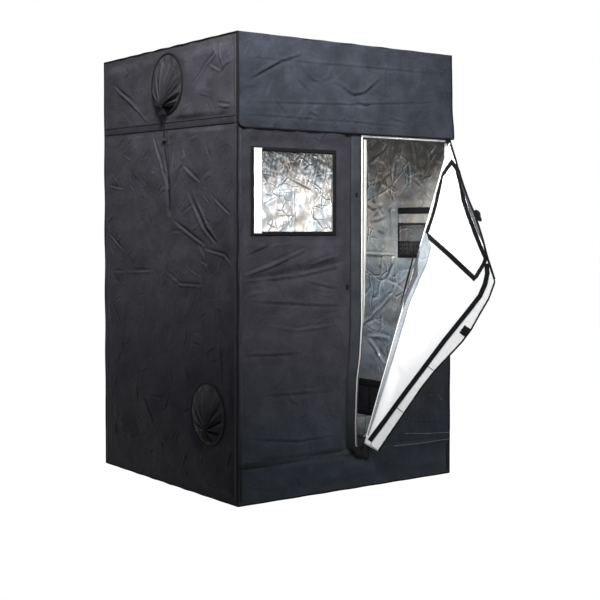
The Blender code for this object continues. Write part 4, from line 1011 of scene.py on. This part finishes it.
def add_front():
    """The fixed front with its window gap and door opening, its tapes, and the door's lower part."""
    stops_u = (WINDOW_LOW[0], WINDOW_HIGH[0], DOOR_LEFT)
    stops_v = (WINDOW_LOW[1], WINDOW_HIGH[1], SILL, DOOR_TOP)

    def relief(u, v):
        free = off_window(u, v, 0.03) * off_box(u, v, (-0.012, 0.15), (SIDE, DOOR_TOP + 0.01), 0.05)
        free = free * (1 - ease(v, 1.6, 1.63)) * ease(np.abs(v - 0.168), 0.0, 0.03)
        return wall_relief(u, v, 91, ((-SIDE, LOW), (SIDE, HIGH)), FRONT_CREASES, free)

    us, vs = lines(-SIDE, SIDE, 0.0065, stops_u), lines(LOW, HIGH, 0.0065, stops_v)
    gaps = ((WINDOW_LOW, WINDOW_HIGH), ((DOOR_LEFT, SILL), (SIDE, DOOR_TOP)))
    nodes = ("front_left_panel", "front_header", "front_sill")
    wall("front_cloth", us, vs, on_front, relief, "front", gaps=gaps, nodes=nodes)

    def inner_relief(u, v):
        free = off_window(u, v, 0.02) * off_box(u, v, (DOOR_LEFT - 0.01, 0.15), (SIDE, DOOR_TOP + 0.01), 0.05)
        return lining_relief(u, v, 95, ((-SIDE_IN, LOW), (SIDE_IN, HIGH)), free)

    def behind_front(u, v, lift):
        return on_front(u, v, -LINING_GAP - lift)

    us, vs = lines(-SIDE_IN, SIDE_IN, 0.012, stops_u), lines(LOW, HIGH, 0.012, stops_v)
    gaps = ((WINDOW_LOW, WINDOW_HIGH), ((DOOR_LEFT, SILL), (SIDE_IN, DOOR_TOP)))
    wall("front_lining", us, vs, behind_front, inner_relief, "lining", gaps=gaps)
    tabs = []
    for count, (x, z) in enumerate(((-0.023, 1.604), (0.029, 1.332), (-0.022, 0.918))):
        path = [(x - 0.001, z - 0.01), (x + 0.001, z + 0.01)]
        tabs.append((f"tab_{count}", path, 0.012, "tape", 0.0042, 0.0012, 0.001))
    tapes = [
        ("storm_flap", [(0.0285, 0.16), (0.0285, 1.598)], 0.059, "storm", 0.0018, 0.0012, 0.0018),
        ("storm_edge", [(-0.002, 0.16), (-0.002, 1.598)], 0.007, "band", 0.0014, 0.001, 0.0008),
        ("storm_welt", [(0.055, 0.16), (0.055, 1.598)], 0.005, "band", 0.0025, 0.001, 0.0008),
        *tabs,
        ("foot_band", [(-0.6015, 0.169), (0.6015, 0.169)], 0.026, "storm", 0.001, 0.001, 0.0016),
        ("corner_seam_0", [(-0.5935, 0.02), (-0.5935, 1.6)], 0.013, "storm", 0.0008, 0.001, 0.0008),
        ("corner_seam_1", [(0.5955, 0.02), (0.5955, 0.15)], 0.013, "storm", 0.0008, 0.001, 0.0008),
    ]
    for name, *tape in tapes:
        strip("front_" + name, on_front, *tape)
    add_lower_door()
    add_door_zip()


def add_door_zip():
    """The fixed half of the door's zip: pale tape, its teeth, and the lining's hem in the opening."""
    route = [(0.0625, z) for z in np.linspace(0.158, 1.5975, 60)]
    route += [(x, 1.5975) for x in np.linspace(0.1, 0.575, 20)]
    tape = strip("door_zip_hem", on_front, route, 0.009, "zip_hem", 0.0014, 0.0014, 0.0012)
    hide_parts("door_zip")
    upright_places = [(0.0712, z) for z in np.arange(0.164, 1.59, TOOTH_PITCH)]
    level_places = [(x, 1.5905) for x in np.arange(0.076, 0.575, TOOTH_PITCH)]
    places = np.array(upright_places + level_places)
    upright = np.arange(len(places)) < len(upright_places)
    spots = on_front(places[:, 0], places[:, 1], np.full(len(places), 0.0014))
    spots[:, 0] += np.where(upright, door_drift(places[:, 1]), 0) * (places[:, 0] > DOOR_LEFT)
    corners = ((-1, -1), (1, -1), (1, 1), (-1, 1))
    shape = np.array([(x, y, -1) for x, y in corners] + [(0.7 * x, 0.6 * y, 1) for x, y in corners])
    faces = np.array([(3, 2, 1, 0), (4, 5, 6, 7), (0, 1, 5, 4), (1, 2, 6, 5), (2, 3, 7, 6), (3, 0, 4, 7)])
    points, quads = [], []
    for count, (spot, up) in enumerate(zip(spots, upright)):
        half = (0.0024, 0.0012) if up else (0.0012, 0.0024)
        points.append(spot + joined(shape[:, 0] * half[0], -shape[:, 2] * 0.0013, shape[:, 1] * half[1]))
        quads.append(faces + 8 * count)
    points = np.concatenate(points)
    teeth = build("door_zip_teeth", points, np.concatenate(quads), points[:, ::2], ["teeth"], smooth=False)
    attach(teeth, "tent")

    def on_jamb(u, v, lift):
        return joined(u, FRONT + 0.004 - np.asarray(lift) - 0.0015 * np.sin(v * 31), v)

    jamb = [(0.0845, 1.585), (0.0845, 1.2), (0.0775, 0.75)]
    strip("door_jamb_lining", on_jamb, jamb, (0.024, 0.022, 0.006), "jamb", 0.0, 0.001, 0.001)


def lump(name, start, end, radius, flat, seed, size, body):
    """A gathered roll of dark cloth whose folds run along it; size is that of its flat cloth."""
    start, end = np.array(start, float), np.array(end, float)
    way = (end - start) / np.linalg.norm(end - start)
    out = np.array((0, -1.0, 0)) if abs(way[1]) < 0.9 else np.array((1.0, 0, 0))
    up = np.cross(out, way)
    turn, share = grid(np.linspace(0, 2 * pi, 61), np.linspace(0, 1, 22))
    a, b, c = np.random.default_rng(seed).uniform(0, 2 * pi, 3)
    folds = 0.78 + 0.16 * np.sin(5 * turn + 3 * share + a) + 0.12 * np.sin(3 * turn - 5 * share + b)
    folds += 0.1 * np.sin(8 * share + c)
    wide = (radius * np.sin(pi * np.clip(share, 0.01, 0.99)) ** 0.45 * folds)[..., None]
    around = np.cos(turn)[..., None] * up + flat * np.sin(turn)[..., None] * out
    points = start + (end - start) * share[..., None] + wide * around
    uv = joined(*grid(np.linspace(0, size[0], 61), np.linspace(0, size[1], 22)))
    dress(single(name, points, uv, "bunch"), body)


def add_foot_bunch():
    """The door's foot, bunched where its zips end: a gathered knot of dark cloth and its pull cords."""
    y = FRONT - 0.011
    parts = (
        ((-0.002, y, 0.182), (0.078, y - 0.004, 0.158), 0.019, 0.55, 3),
        ((0.036, y - 0.002, 0.187), (0.118, y, 0.163), 0.021, 0.5, 4),
        ((0.028, y, 0.152), (0.104, y - 0.003, 0.148), 0.017, 0.55, 5),
        ((0.086, y - 0.003, 0.128), (0.094, y, 0.2), 0.015, 0.6, 6),
    )
    for count, part in enumerate(parts):
        lump(f"door_foot_bunch_{count}", *part, (0.1, 0.08), "tent")
    rings = []
    turns = np.linspace(0, 2 * pi, 25)[:-1]
    for x, z, size in ((-0.002, 0.186, 0.01), (0.05, 0.19, 0.012), (0.012, 0.164, 0.009)):
        sideways, y = size * 0.7 * np.cos(turns), FRONT - 0.0235 + 0.002 * np.cos(turns)
        rings.append(joined(x + sideways, y, z + size * np.sin(turns)))
    piping("door_foot_pulls", rings, 0.0016, "tape", closed=True)


def fold_height(x):
    """The slanted fold's height in the front wall."""
    return FOLD_LOW.z + (x - FOLD_LOW.x) * (FOLD_HIGH.z - FOLD_LOW.z) / (FOLD_HIGH.x - FOLD_LOW.x)


def add_lower_door():
    """The triangle of the door below its fold: cloth outside, lining inside."""
    us = lines(0.0768, SIDE - 0.001, 0.0065)
    u, share = grid(us, np.linspace(0, 1, 170))
    v = SILL + (np.minimum(fold_height(u), DOOR_TOP + 0.01) - SILL) * share
    edges = ((DOOR_LEFT, SILL - 0.02), (SIDE, 1.7))
    relief = wall_relief(u, v, 97, edges, LOWER_DOOR_CREASES) * ease(share, 1.0, 0.93)
    points = joined(u, FRONT + 0.001 - relief, v)
    made = double("door_lower_cloth", points, joined(u, v), ["front", "lining", "tape"], 0.0016)
    dress(made, "tent", "door_lower_panel")
    seams = ([(0.25, 0.17), (0.4265, 0.166), (0.603, 0.168)], [(0.32, 0.222), (0.4615, 0.208), (0.603, 0.2)])
    for count, path in enumerate(seams):
        strip(f"door_lower_seam_{count}", on_front, path, 0.0035, "thread", 0.0045, 0.001, 0.0008)


def add_valance():
    """The long flap over the door's top edge, with one rounded lower corner."""
    foot = TOP - VALANCE_DROP
    share, v = grid(np.linspace(0, 1, 200), lines(foot, TOP, 0.0055))
    rise = np.clip(VALANCE_ROUND - (v - foot), 0, VALANCE_ROUND)
    left = -SIDE + VALANCE_ROUND - np.sqrt(VALANCE_ROUND**2 - rise**2)
    u = left + (SIDE - left) * share
    relief = billow(u, v, 101, 0.4, 0.0015) + billow(u, v, 102, 0.14, 0.0009)
    relief += creased(u, v, BROW_CREASES)
    relief += strewn(u, v, 103, ((-SIDE, foot), (SIDE, TOP)), 60, 0.14, 0.008, 0.0024)
    bulge = 0.006 * np.sin(pi * np.clip((TOP - v) / VALANCE_DROP, 0, 1) * 0.75)
    flare = 0.012 * ease(u, 0.5, SIDE) * ease(TOP - v, 0.25, 0.4)
    lift = 0.0025 + np.clip(relief, -0.002, 0.009) * ease(TOP - v, 0.0, 0.06) + bulge + flare
    points = joined(u, FRONT - lift, v)
    made = double("valance_cloth", points, joined(u, v), ["brow", "outer", "tape"], 0.0016)
    dress(made, "brow", "valance")
    piping("valance_binding", [loose_edge(points)], 0.0045, "tape", "brow")


# Curves
def piping(name, routes, radius, finish, body="tent", closed=False, roundness=2):
    """Round binding along one or more routes."""
    curve = bpy.data.curves.new(name, "CURVE")
    curve.dimensions = "3D"
    curve.bevel_depth = radius
    curve.bevel_resolution = roundness
    curve.use_fill_caps = not closed
    for route in routes:
        spline = curve.splines.new("POLY")
        spline.points.add(len(route) - 1)
        spline.points.foreach_set("co", np.array([(*point, 1) for point in route], np.float32).ravel())
        spline.use_cyclic_u = closed
        spline.use_smooth = True
    curve.materials.append(FINISHES[finish])
    made = shown(name, curve)
    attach(made, body)
    return made


def wavering(start, end, seed, step=0.02, height=0.0012):
    """A straight route with the slight wander of sewn binding."""
    start, end = np.array(start, float), np.array(end, float)
    count = max(2, round(np.linalg.norm(end - start) / step))
    rng = np.random.default_rng(seed)
    t = np.linspace(0, 1, count + 1)
    route = start + (end - start) * t[:, None]
    for axis in range(3):
        phase, waves = rng.uniform(0, 2 * pi), rng.uniform(5, 9)
        route[:, axis] += height * np.sin(2 * pi * waves * t + phase) * np.sin(pi * t)
    return route


def add_binding():
    """Piping along the tent's twelve edges."""
    x, low, high = SIDE - 0.001, 0.0045, TOP - 0.003
    corners = [(-x, FRONT + 0.001), (x, FRONT + 0.001), (x, BACK - 0.001), (-x, BACK - 0.001)]
    routes = []
    for count, (a, b) in enumerate(zip(corners, corners[1:] + corners[:1])):
        routes.append(wavering((*a, high), (*b, high), 200 + count))
        routes.append(wavering((*a, low), (*b, low), 210 + count))
        routes.append(wavering((*a, low), (*a, high), 220 + count))
    piping("edge_binding", routes, 0.0042, "tape")


# Drawstring
def smooth_route(route, step):
    """Points at an even step along a smooth curve through the route."""
    route = [Vector(point) for point in route]
    padded = [route[0] * 2 - route[1]] + route + [route[-1] * 2 - route[-2]]
    fine = []
    for a, b, c, d in zip(padded, padded[1:], padded[2:], padded[3:]):
        pieces = max(2, round((c - b).length / (step / 8)))
        for index in range(pieces):
            t = index / pieces
            bend = 2 * a - 5 * b + 4 * c - d
            twist = 3 * b - a - 3 * c + d
            fine.append((2 * b + (c - a) * t + bend * t**2 + twist * t**3) / 2)
    fine.append(route[-1])
    points = [fine[0]]
    for point in fine[1:-1]:
        if (point - points[-1]).length >= step:
            points.append(point)
    return points + [fine[-1]]


def add_cord():
    """The drawstring of the upper left sleeve, from the sleeve's tail to its end."""
    route = [
        (-0.6328, -0.022, 1.7057),
        (-0.6328, -0.021, 1.6937),
        (-0.6235, -0.014, 1.641),
        (-0.6178, -0.008, 1.595),
        (-0.6178, -0.008, 1.579),
        (-0.616, -0.014, 1.531),
        (-0.6121, -0.029, 1.448),
        (-0.6143, -0.0415, 1.377),
        (-0.6143, -0.0415, 1.367),
        (-0.6143, -0.0415, 1.347),
        (-0.6143, -0.0415, 1.337),
        (-0.6121, -0.044, 1.321),
        (-0.6121, -0.041, 1.279),
    ]
    points = smooth_route(route, 0.01)
    cord = piping("drawstring_cord", [points], CORD, "cord")
    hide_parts("drawstring")


# Door
def fold_axes():
    """The fold's way, the ways across the closed and the open flap, and out of the open one's face."""
    along = (FOLD_HIGH - FOLD_LOW).normalized()
    across = Vector((-along.z, 0, along.x))
    turned = Matrix.Rotation(FOLD_OPEN, 3, along) @ across
    return along, across, turned, along.cross(turned)


def flat_on_flap(x, z):
    """Closed-door places in the flap's own two coordinates."""
    along, across, _, _ = fold_axes()
    dx, dz = x - FOLD_LOW.x, z - FOLD_LOW.z
    return dx * along.x + dz * along.z, dx * across.x + dz * across.z


def crease_line():
    """The crease's start, its way and the way beyond it, in the flap's own two coordinates."""
    start = np.array(flat_on_flap(CREASE_LOW.x, CREASE_LOW.z))
    end = np.array(flat_on_flap(FOLD_HIGH.x, FOLD_HIGH.z))
    way = (end - start) / np.linalg.norm(end - start)
    return start, way, np.array([-way[1], way[0]])


def crease_height(x):
    """The crease's height on the closed door."""
    return CREASE_LOW.z + (x - CREASE_LOW.x) * (FOLD_HIGH.z - CREASE_LOW.z) / (FOLD_HIGH.x - CREASE_LOW.x)


def on_door(x, z, lift=0.0):
    """Points of the open door from closed-door places, lifted off its outer face.

    The tip bends at the crease."""
    along, _, turned, normal = fold_axes()
    a, c = flat_on_flap(np.asarray(x, float), np.asarray(z, float))
    start, way, beyond = crease_line()
    run = (a - start[0]) * way[0] + (c - start[1]) * way[1]
    past = (a - start[0]) * beyond[0] + (c - start[1]) * beyond[1]
    turn = np.clip((past + CREASE_REACH) / (2 * CREASE_REACH), 0, 1) * CREASE_BEND
    rest = np.maximum(past - CREASE_REACH, 0)
    flat = np.minimum(past, -CREASE_REACH) + CREASE_RADIUS * np.sin(turn) + rest * cos(CREASE_BEND)
    rise = CREASE_RADIUS * (1 - np.cos(turn)) + rest * sin(CREASE_BEND)
    flat = flat - np.sin(turn) * lift
    rise = rise + np.cos(turn) * lift
    a2 = start[0] + way[0] * run + beyond[0] * flat
    c2 = start[1] + way[1] * run + beyond[1] * flat
    axes = [np.array(axis) for axis in (along, turned, normal)]
    return np.array(FOLD_LOW) + a2[..., None] * axes[0] + c2[..., None] * axes[1] + rise[..., None] * axes[2]


def bend_with_crease(piece):
    """Bakes the piece's transform into its mesh; the places either side of the crease are worked out but not
    used.
    """
    x = 0.25
    low, high = on_door(x + np.array([0.0062, -0.0062]), crease_height(x) + np.array([-0.0084, 0.0084]))
    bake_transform(piece)


def door_relief(x, z):
    """How far the open door's cloth stands off its plane; its free edges lie over the zip when closed."""
    relief = billow(x, z, 301, 0.45, 0.004) + billow(x, z, 302, 0.12, 0.0012)
    relief += strewn(x, z, 303, ((0.0, 0.2), (0.6, 1.6)), 30, 0.2, 0.02, 0.003)
    relief += creased(x, z, DOOR_CREASES)
    _, c = flat_on_flap(x, z)
    over = np.maximum(1 - ease(x, 0.085, 0.19), ease(z, 1.52, 1.575))
    calm = np.clip(relief, -0.007, 0.007) * (1 - 0.9 * over) * ease(c, 0.0, 0.05)
    return calm + 0.0068 * over * ease(c, 0.015, 0.08)


def on_relief(x, z, lift):
    """Points on the open door's wavy cloth, lifted off it."""
    return on_door(x, z, door_relief(x, z) + lift)


def storm_bulge(z):
    """How far the door's loose outer edge stands out past its straight line."""
    heights = [0.56, 0.66, 0.76, 0.83, 0.9, 0.98, 1.06, 1.12, 1.157]
    return np.interp(z, heights, [0.0, 0.008, 0.026, 0.038, 0.042, 0.034, 0.028, 0.012, 0.0])


def add_door():
    """The door folded open on its slanted fold, with its tip bent back at the crease."""
    fine_low, fine_high = 1.142, 1.174
    heights = lines(FLAP_FOOT.z, FLAP_TIP.z, 0.008, (fine_low,))
    coarse = heights[(heights < fine_low) | (heights > fine_high)]
    heights = np.unique(np.round(np.concatenate([coarse, np.arange(fine_low, fine_high, 0.002)]), 5))
    foot = [tuple((FOLD_LOW + (FLAP_FOOT - FOLD_LOW) * t).xz) for t in np.linspace(0, 1, 11)[:-1]]
    edge = np.array(foot + [(-float(storm_bulge(height)), height) for height in heights])
    shares = np.linspace(0, 0.995, 160)
    x = edge[:, None, 0] * (1 - shares) + FOLD_HIGH.x * shares
    z = edge[:, None, 1] * (1 - shares) + FOLD_HIGH.z * shares
    points = on_relief(x, z, 0.0)
    if normals_of(points)[20, 20] @ np.array(fold_axes()[3]) < 0:
        points, x, z = points[::-1], x[::-1], z[::-1]
    made = double("door_cloth", points, joined(x, z), ["outer", "flap_lining", "tape"], 0.0016)
    bend_with_crease(made)
    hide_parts("door_flap", "door_corner")
    add_door_tapes()
    add_toggle()


def add_door_tapes():
    """The window's tape on the door's inner face, as the fold drags it, its half of the zip, its hems, and
    painted shade and shadow sheets along the fold and crease.
    """
    inside = -0.0026

    def on_flap(name, path, width, finish="tape", lift=0.0, node_name=None, body="flap"):
        made = strip(name, on_relief, path, width, finish, inside - lift, step=0.004, body=body)
        if node_name:
            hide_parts(node_name)

    head = [(0.531, 1.47), (0.528, 1.516), (0.486, 1.5), (0.436, 1.458), (0.361, 1.388), (0.258, 1.316)]
    head += [(0.163, 1.252), (0.098, 1.211), (0.091, 1.187), (0.086, 1.112)]
    on_flap("door_window_head", head, 0.019, node_name="flap_window_tape_upper")
    sill = [(0.08, 1.104), (0.26, 1.136), (0.42, 1.16)]
    on_flap("door_window_sill", sill, 0.022, "tape", 0.0014, "flap_window_tape_lower")
    side = [(0.529, 1.5), (0.53, 1.436), (0.5, 1.371), (0.469, 1.302), (0.446, 1.24), (0.421, 1.16)]
    on_flap("door_window_side", side, 0.017)
    tip = [(0.44, 1.52), (0.095, 1.52), (0.095, 1.27)]
    on_flap("tip_window_head", tip, 0.02, "tape", 0.0, "corner_window_tape", "flap_tip")
    half = [(0.061, 0.226), (0.054, 0.457), (0.036, 0.798), (0.02, 0.977), (0.015, 1.051), (0.027, 1.109)]
    half += [(0.048, 1.155), (0.078, 1.192)]
    on_flap("door_zip_tape", half, 0.023, "tape", 0.0014, "flap_zip_tape")
    heights = np.linspace(0.212, 1.155, 60)
    left = 0.0015 - storm_bulge(heights)
    right = np.interp(heights, [z for _, z in half], [x - 0.01 for x, _ in half])
    on_flap("door_storm_strip", joined((left + right) / 2, heights), right - left, "white")
    on_flap("door_tab", [(-0.04, 0.882), (-0.004, 0.882)], 0.042, "tape", 0.003)
    on_flap("door_joint_high", [(-0.002, 0.655), (0.036, 0.655)], 0.003, "band", 0.0012)
    on_flap("door_joint_low", [(0.004, 0.42), (0.043, 0.42)], 0.003, "band", 0.0012)
    crease_x = FOLD_HIGH.x * np.linspace(0.0, 0.985, 90)
    binding = on_relief(crease_x, crease_height(crease_x), -0.0035)
    piping("door_crease_binding", [binding], 0.0052, "tape", "flap")
    # A painted shade sheet along the inside of the crease, in the dark fold_shadow finish.
    sliver = [(0.14, 1.257), (0.2, 1.297), (0.3, 1.37), (0.4, 1.443), (0.47, 1.496)]
    on_flap("door_crease_shade_sheet", sliver, (0.004, 0.011, 0.018, 0.018, 0.006), "slate", 0.0006)
    # A strip of the lining curving into the fold, painted grey-blue with its shade; it wears the hem finish.
    near = [(0.083, 0.24), (0.112, 0.325), (0.186, 0.53), (0.288, 0.815), (0.332, 0.945), (0.354, 1.03)]
    near += [(0.386, 1.11), (0.424, 1.163)]
    widths = (0.008, 0.014, 0.018, 0.024, 0.036, 0.058, 0.056, 0.008)
    on_flap("door_fold_border", near, widths, "hem", 0.004)
    dark = [(0.3, 0.815), (0.314, 0.85), (0.346, 0.972), (0.379, 1.03), (0.397, 1.075)]
    on_flap("door_fold_shadow", dark, (0.003, 0.01, 0.024, 0.013, 0.004), "slate", 0.0065)
    edge_z = np.linspace(0.212, 1.157, 90)
    edge = on_relief(0.001 - storm_bulge(edge_z), edge_z, 0.0)
    piping("door_edge_binding", [edge], 0.0042, "tape", "flap")
    folds = []
    for start, end in ((0.02, 0.47), (0.64, 0.99)):
        x = FOLD_LOW.x + (FOLD_HIGH.x - FOLD_LOW.x) * np.linspace(start, end, 60)
        folds.append(on_door(x - 0.0042, fold_height(x) + 0.0016, -0.004))
    piping("door_fold_hem", folds, 0.004, "white", "flap")
    # A black painted shadow strip inside the tent behind the opening, along the fold where the fold's shadow
    # falls.
    welt = [(0.3, 0.825), (0.345, 0.955), (0.378, 1.05)]
    strip("door_fold_back_shadow", face(1, FRONT + 0.0035, -1), welt, (0.004, 0.011, 0.007), "tape")


def add_toggle():
    """The rolled strap at the crease that ties the door up."""
    along, _, turned, normal = fold_axes()
    _, way, beyond = crease_line()
    run = np.array(along * way[0] + turned * way[1])
    out = np.array(along * beyond[0] + turned * beyond[1])
    place = on_door(np.array(0.262), np.array(crease_height(0.262))) + out * 0.018 + np.array(normal) * 0.001
    lump("door_toggle", place - run * 0.032, place + run * 0.032, 0.021, 0.7, 12, (0.08, 0.05), "flap")


# Window in the fixed front
def strip_frame(name, low, high, width, place, finish, thickness):
    """A flat frame of tape round a rectangle in the front wall, mitred at its corners."""
    outer_low, outer_high = np.array(low) - width, np.array(high) + width
    inner, outer = [
        np.array([a, (b[0], a[1]), b, (a[0], b[1])], float) for a, b in ((low, high), (outer_low, outer_high))
    ]
    rows = []
    for i in range(5):
        a, b, c, d = outer[i % 4], inner[i % 4], outer[(i + 1) % 4], inner[(i + 1) % 4]
        for t in np.linspace(0, 1, 24 if i < 4 else 1, endpoint=False):
            start, end = a + (c - a) * t, b + (d - b) * t
            rows.append([start + (end - start) * s for s in np.linspace(0, 1, 4)])
    rows = np.array(rows)
    u, v = rows[..., 0], rows[..., 1]
    points = joined(u, place - billow(u, v, 405, 0.12, 0.0005), v)
    return double(name, points, joined(u, v), [finish] * 3, thickness)


def add_window():
    """The window's crumpled silver cover, its tape frame and the white strip beside it."""
    (x0, z0), (x1, z1) = WINDOW_LOW, WINDOW_HIGH
    us, vs = lines(x0 - 0.01, x1 + 0.01, 0.0035), lines(z0 - 0.01, z1 + 0.01, 0.0035)
    u, v = grid(us, vs)
    top = ease(v, 1.3, 1.45)
    relief = billow(u, v, 411, 0.09, 0.002) + billow(u, v, 412, 0.035, 0.0012) * (0.3 + top)
    relief += strewn(u, v, 413, (WINDOW_LOW, WINDOW_HIGH), 110, 0.09, 0.004, 0.004) * (0.35 + 0.65 * top)
    relief += creased(u, v, PANE_CREASES)
    relief = np.clip(relief, -0.006, 0.006) * held(u, v, (us[0], vs[0]), (us[-1], vs[-1]), 0.015)
    pane = single("window_cover", joined(u, FRONT + 0.006 - relief, v), joined(u, v), "pane")
    dress(pane, "tent", "window_film")
    tape = strip_frame("window_frame_tape", WINDOW_LOW, WINDOW_HIGH, 0.018, FRONT - 0.0014, "tape", 0.0012)
    dress(tape, "tent", "window_tape")
    u, v = grid(lines(-0.527, -0.487, 0.004), lines(1.158, 1.522, 0.006))
    points = joined(u, FRONT - 0.0032 - billow(u, v, 421, 0.1, 0.0008), v)
    dress(double("window_white_strip", points, joined(u, v), ["white"] * 3, 0.0012), "tent", "window_strip")


# Duct sleeves
def sleeve(name, side, port, gather, seed):
    """A sleeve tied shut: pleats run from its hem to the gather, and its tail flares below the tie."""
    rng = np.random.default_rng(seed)
    turns = np.linspace(0, 2 * pi, 289)
    waves = [(k, rng.uniform(0, 2 * pi), rng.uniform(0.02, 0.06)) for k in (1, 2, 3, 5)]
    phase = turns + sum(size * np.sin(k * turns + start) for k, start, size in waves)
    lobes = np.abs(np.sin(5.5 * phase)) ** 0.5
    minor = np.abs(np.sin(15 * phase + 1.0)) ** 0.7
    round_u, round_v = np.cos(turns), np.sin(turns)
    hem = ((HEM_RADIUS, 0.0), (HEM_RADIUS, 0.0028), (PORT_RADIUS + 0.003, 0.0034))
    points = [joined(radius * round_u, radius * round_v, rise) for radius, rise in hem]
    neck, deepest, tie_out = 0.0125, 0.032, 0.039
    for share in np.concatenate([np.linspace(0, 0.1, 5)[1:], np.linspace(0.13, 1, 40)]):
        radius = (PORT_RADIUS + (neck - PORT_RADIUS) * share) * (1 - 0.12 * share * (1 - lobes))
        dome = 0.036 * (1 - (1 - share) ** 3.0)
        deep = deepest * min(1.0, share / 0.15) * min(1.0, max(0.15, (1 - share) / 0.2))
        drop = deep * (1 - lobes) + 0.2 * deep * (1 - minor)
        out = np.maximum(0.0035 + dome - drop, 0.003)
        points.append(joined(gather[0] * share + radius * round_u, gather[1] * share + radius * round_v, out))
    for step in range(1, 7):
        tilt = pi / 2 * min(step, 4) / 4
        down = 0.004 * step if step <= 4 else 0.016 + 0.012 * (step - 4)
        radius = (neck * 0.75 if step < 3 else neck + 0.002 * (step - 3)) * (0.75 + 0.25 * lobes)
        level = gather[1] - down * 0.9 - 0.006 + radius * round_v * cos(tilt)
        out = tie_out - 0.0135 * (1 - cos(tilt)) + radius * round_v * sin(tilt) * 0.9
        points.append(joined(gather[0] + radius * round_u, level, out))
    local = np.array(points)
    across, up, outward = np.array([(0, side, 0), (0, 0, 1), (side, 0, 0)], float)
    base = np.array((side * SIDE, *port))
    world = base + local[..., :1] * across + local[..., 1:2] * up + local[..., 2:] * outward
    uv = joined(turns[None, :] * 0.1, np.linspace(0, 0.2, len(points))[:, None])
    side_name = "right" if side > 0 else "left"
    made = single(f"{side_name}_{name}_sleeve", world, uv, "tail")
    dress(made, "tent", f"duct_sleeve_{side_name}_{name}")
    ring = base + HEM_RADIUS * (round_u[:, None] * across + round_v[:, None] * up) + outward * 0.002
    piping(made.name + "_binding", [ring[:-1]], 0.0042, "tape", closed=True)
    middle = base + across * gather[0] + up * (gather[1] - 0.012) + outward * 0.037
    tie = np.linspace(0, 2 * pi, 33)[:-1, None]
    ring = middle + 0.0115 * (np.cos(tie) * across + np.sin(tie) * (up * 0.75 + outward * 0.66))
    ties = [ring - up * lift - outward * lift * 0.5 for lift in (0.0, 0.004)]
    piping(made.name + "_tie", ties, 0.0022, "cord", closed=True)


def add_sleeves():
    """Two sleeves on the left wall and one high on the right wall."""
    sleeve("upper", -1, UPPER_PORT, (0.0, -0.1), 5)
    sleeve("lower", -1, LOWER_PORT, (0.034, -0.056), 8)
    sleeve("upper", 1, UPPER_PORT, (0.0, -0.1), 9)


# Nodes that keep their shape
NODE_FINISHES = (
    ("steel", ("elbow_", "upright_", "top_rail_", "bottom_rail_", "hanging_bar_")),
    ("plastic", ("zip_pull", "cord_lock")),
    ("slider", ("zip_slider",)),
    ("cord", ("cord_knot",)),
)


def finish_nodes():
    """Gives the nodes that keep their shape their materials."""
    for kind, starts in NODE_FINISHES:
        for name, piece in NODES.items():
            if name.startswith(starts):
                piece.data.materials.clear()
                piece.data.materials.append(FINISHES[kind])


# Stage
def light(name, place, target, size, power, spread_angle):
    data = bpy.data.lights.new(name, "AREA")
    data.size = size
    data.energy = power
    data.spread = radians(spread_angle)
    made = shown(name, data)
    made.location = place
    made.rotation_euler = (Vector(target) - Vector(place)).to_track_quat("-Z", "Y").to_euler()


def seen_rays(owner):
    """1 for camera, glossy and transmission rays."""
    path = node(owner, "LightPath").outputs
    seen = maths(owner, "MAXIMUM", path["Is Camera Ray"], path["Is Glossy Ray"])
    return maths(owner, "MAXIMUM", seen, path["Is Transmission Ray"])


def add_stage():
    """A white world and floor for the rays that are seen, a dim one for the rest, and four lamps."""
    world = bpy.data.worlds.new("studio")
    bpy.context.scene.world = world
    world.use_nodes = True
    dim = world.node_tree.nodes["Background"]
    feed(world, {"Color": (0.9, 0.95, 1, 1), "Strength": 0.1}, dim)
    white = node(world, "Background", {"Color": (1, 1, 1, 1)})
    mix = node(world, "MixShader", {0: seen_rays(world), 1: dim.outputs[0], 2: white.outputs[0]})
    feed(world, {"Surface": mix.outputs[0]}, world.node_tree.nodes["World Output"])
    mesh = bpy.data.meshes.new("floor")
    corners = [(-40, -40, -0.0005), (40, -40, -0.0005), (40, 40, -0.0005), (-40, 40, -0.0005)]
    mesh.from_pydata(corners, [], [(0, 1, 2, 3)])
    ground = bpy.data.materials.new("floor")
    ground.use_nodes = True
    feed(ground, {"Base Color": (0.15, 0.15, 0.15, 1), "Roughness": 0.9, "Specular IOR Level": 0.0})
    glow = times(ground, seen_rays(ground), 0.985)
    feed(ground, {"Emission Color": (1, 1, 1, 1), "Emission Strength": glow})
    mesh.materials.append(ground)
    shown("floor", mesh)
    light("key", (-1.7, -2.2, 3.7), (-0.3, -0.35, 2.15), 1.0, 42, 58)
    light("fill", (1.2, -3.8, 1.5), (0.3, -0.6, 0.65), 1.5, 10, 70)
    light("back", (3.0, 3.4, 2.4), (0.1, 0.1, 1.1), 2.0, 40, 60)
    light("inside", (-0.35, -0.45, 1.0), (0.6, 0.3, 1.1), 0.3, 10, 150)
    bpy.context.scene.view_settings.view_transform = "Standard"


def main():
    add_camera()
    for make in (make_cloths, make_foils, make_tapes):
        FINISHES.update(make())
    steps = (
        add_cord, add_walls, add_linings, add_front, add_valance, add_binding, add_door, add_window,
        add_sleeves, add_foot_bunch, finish_nodes, add_stage,
    )
    for step in steps:
        step()


main()
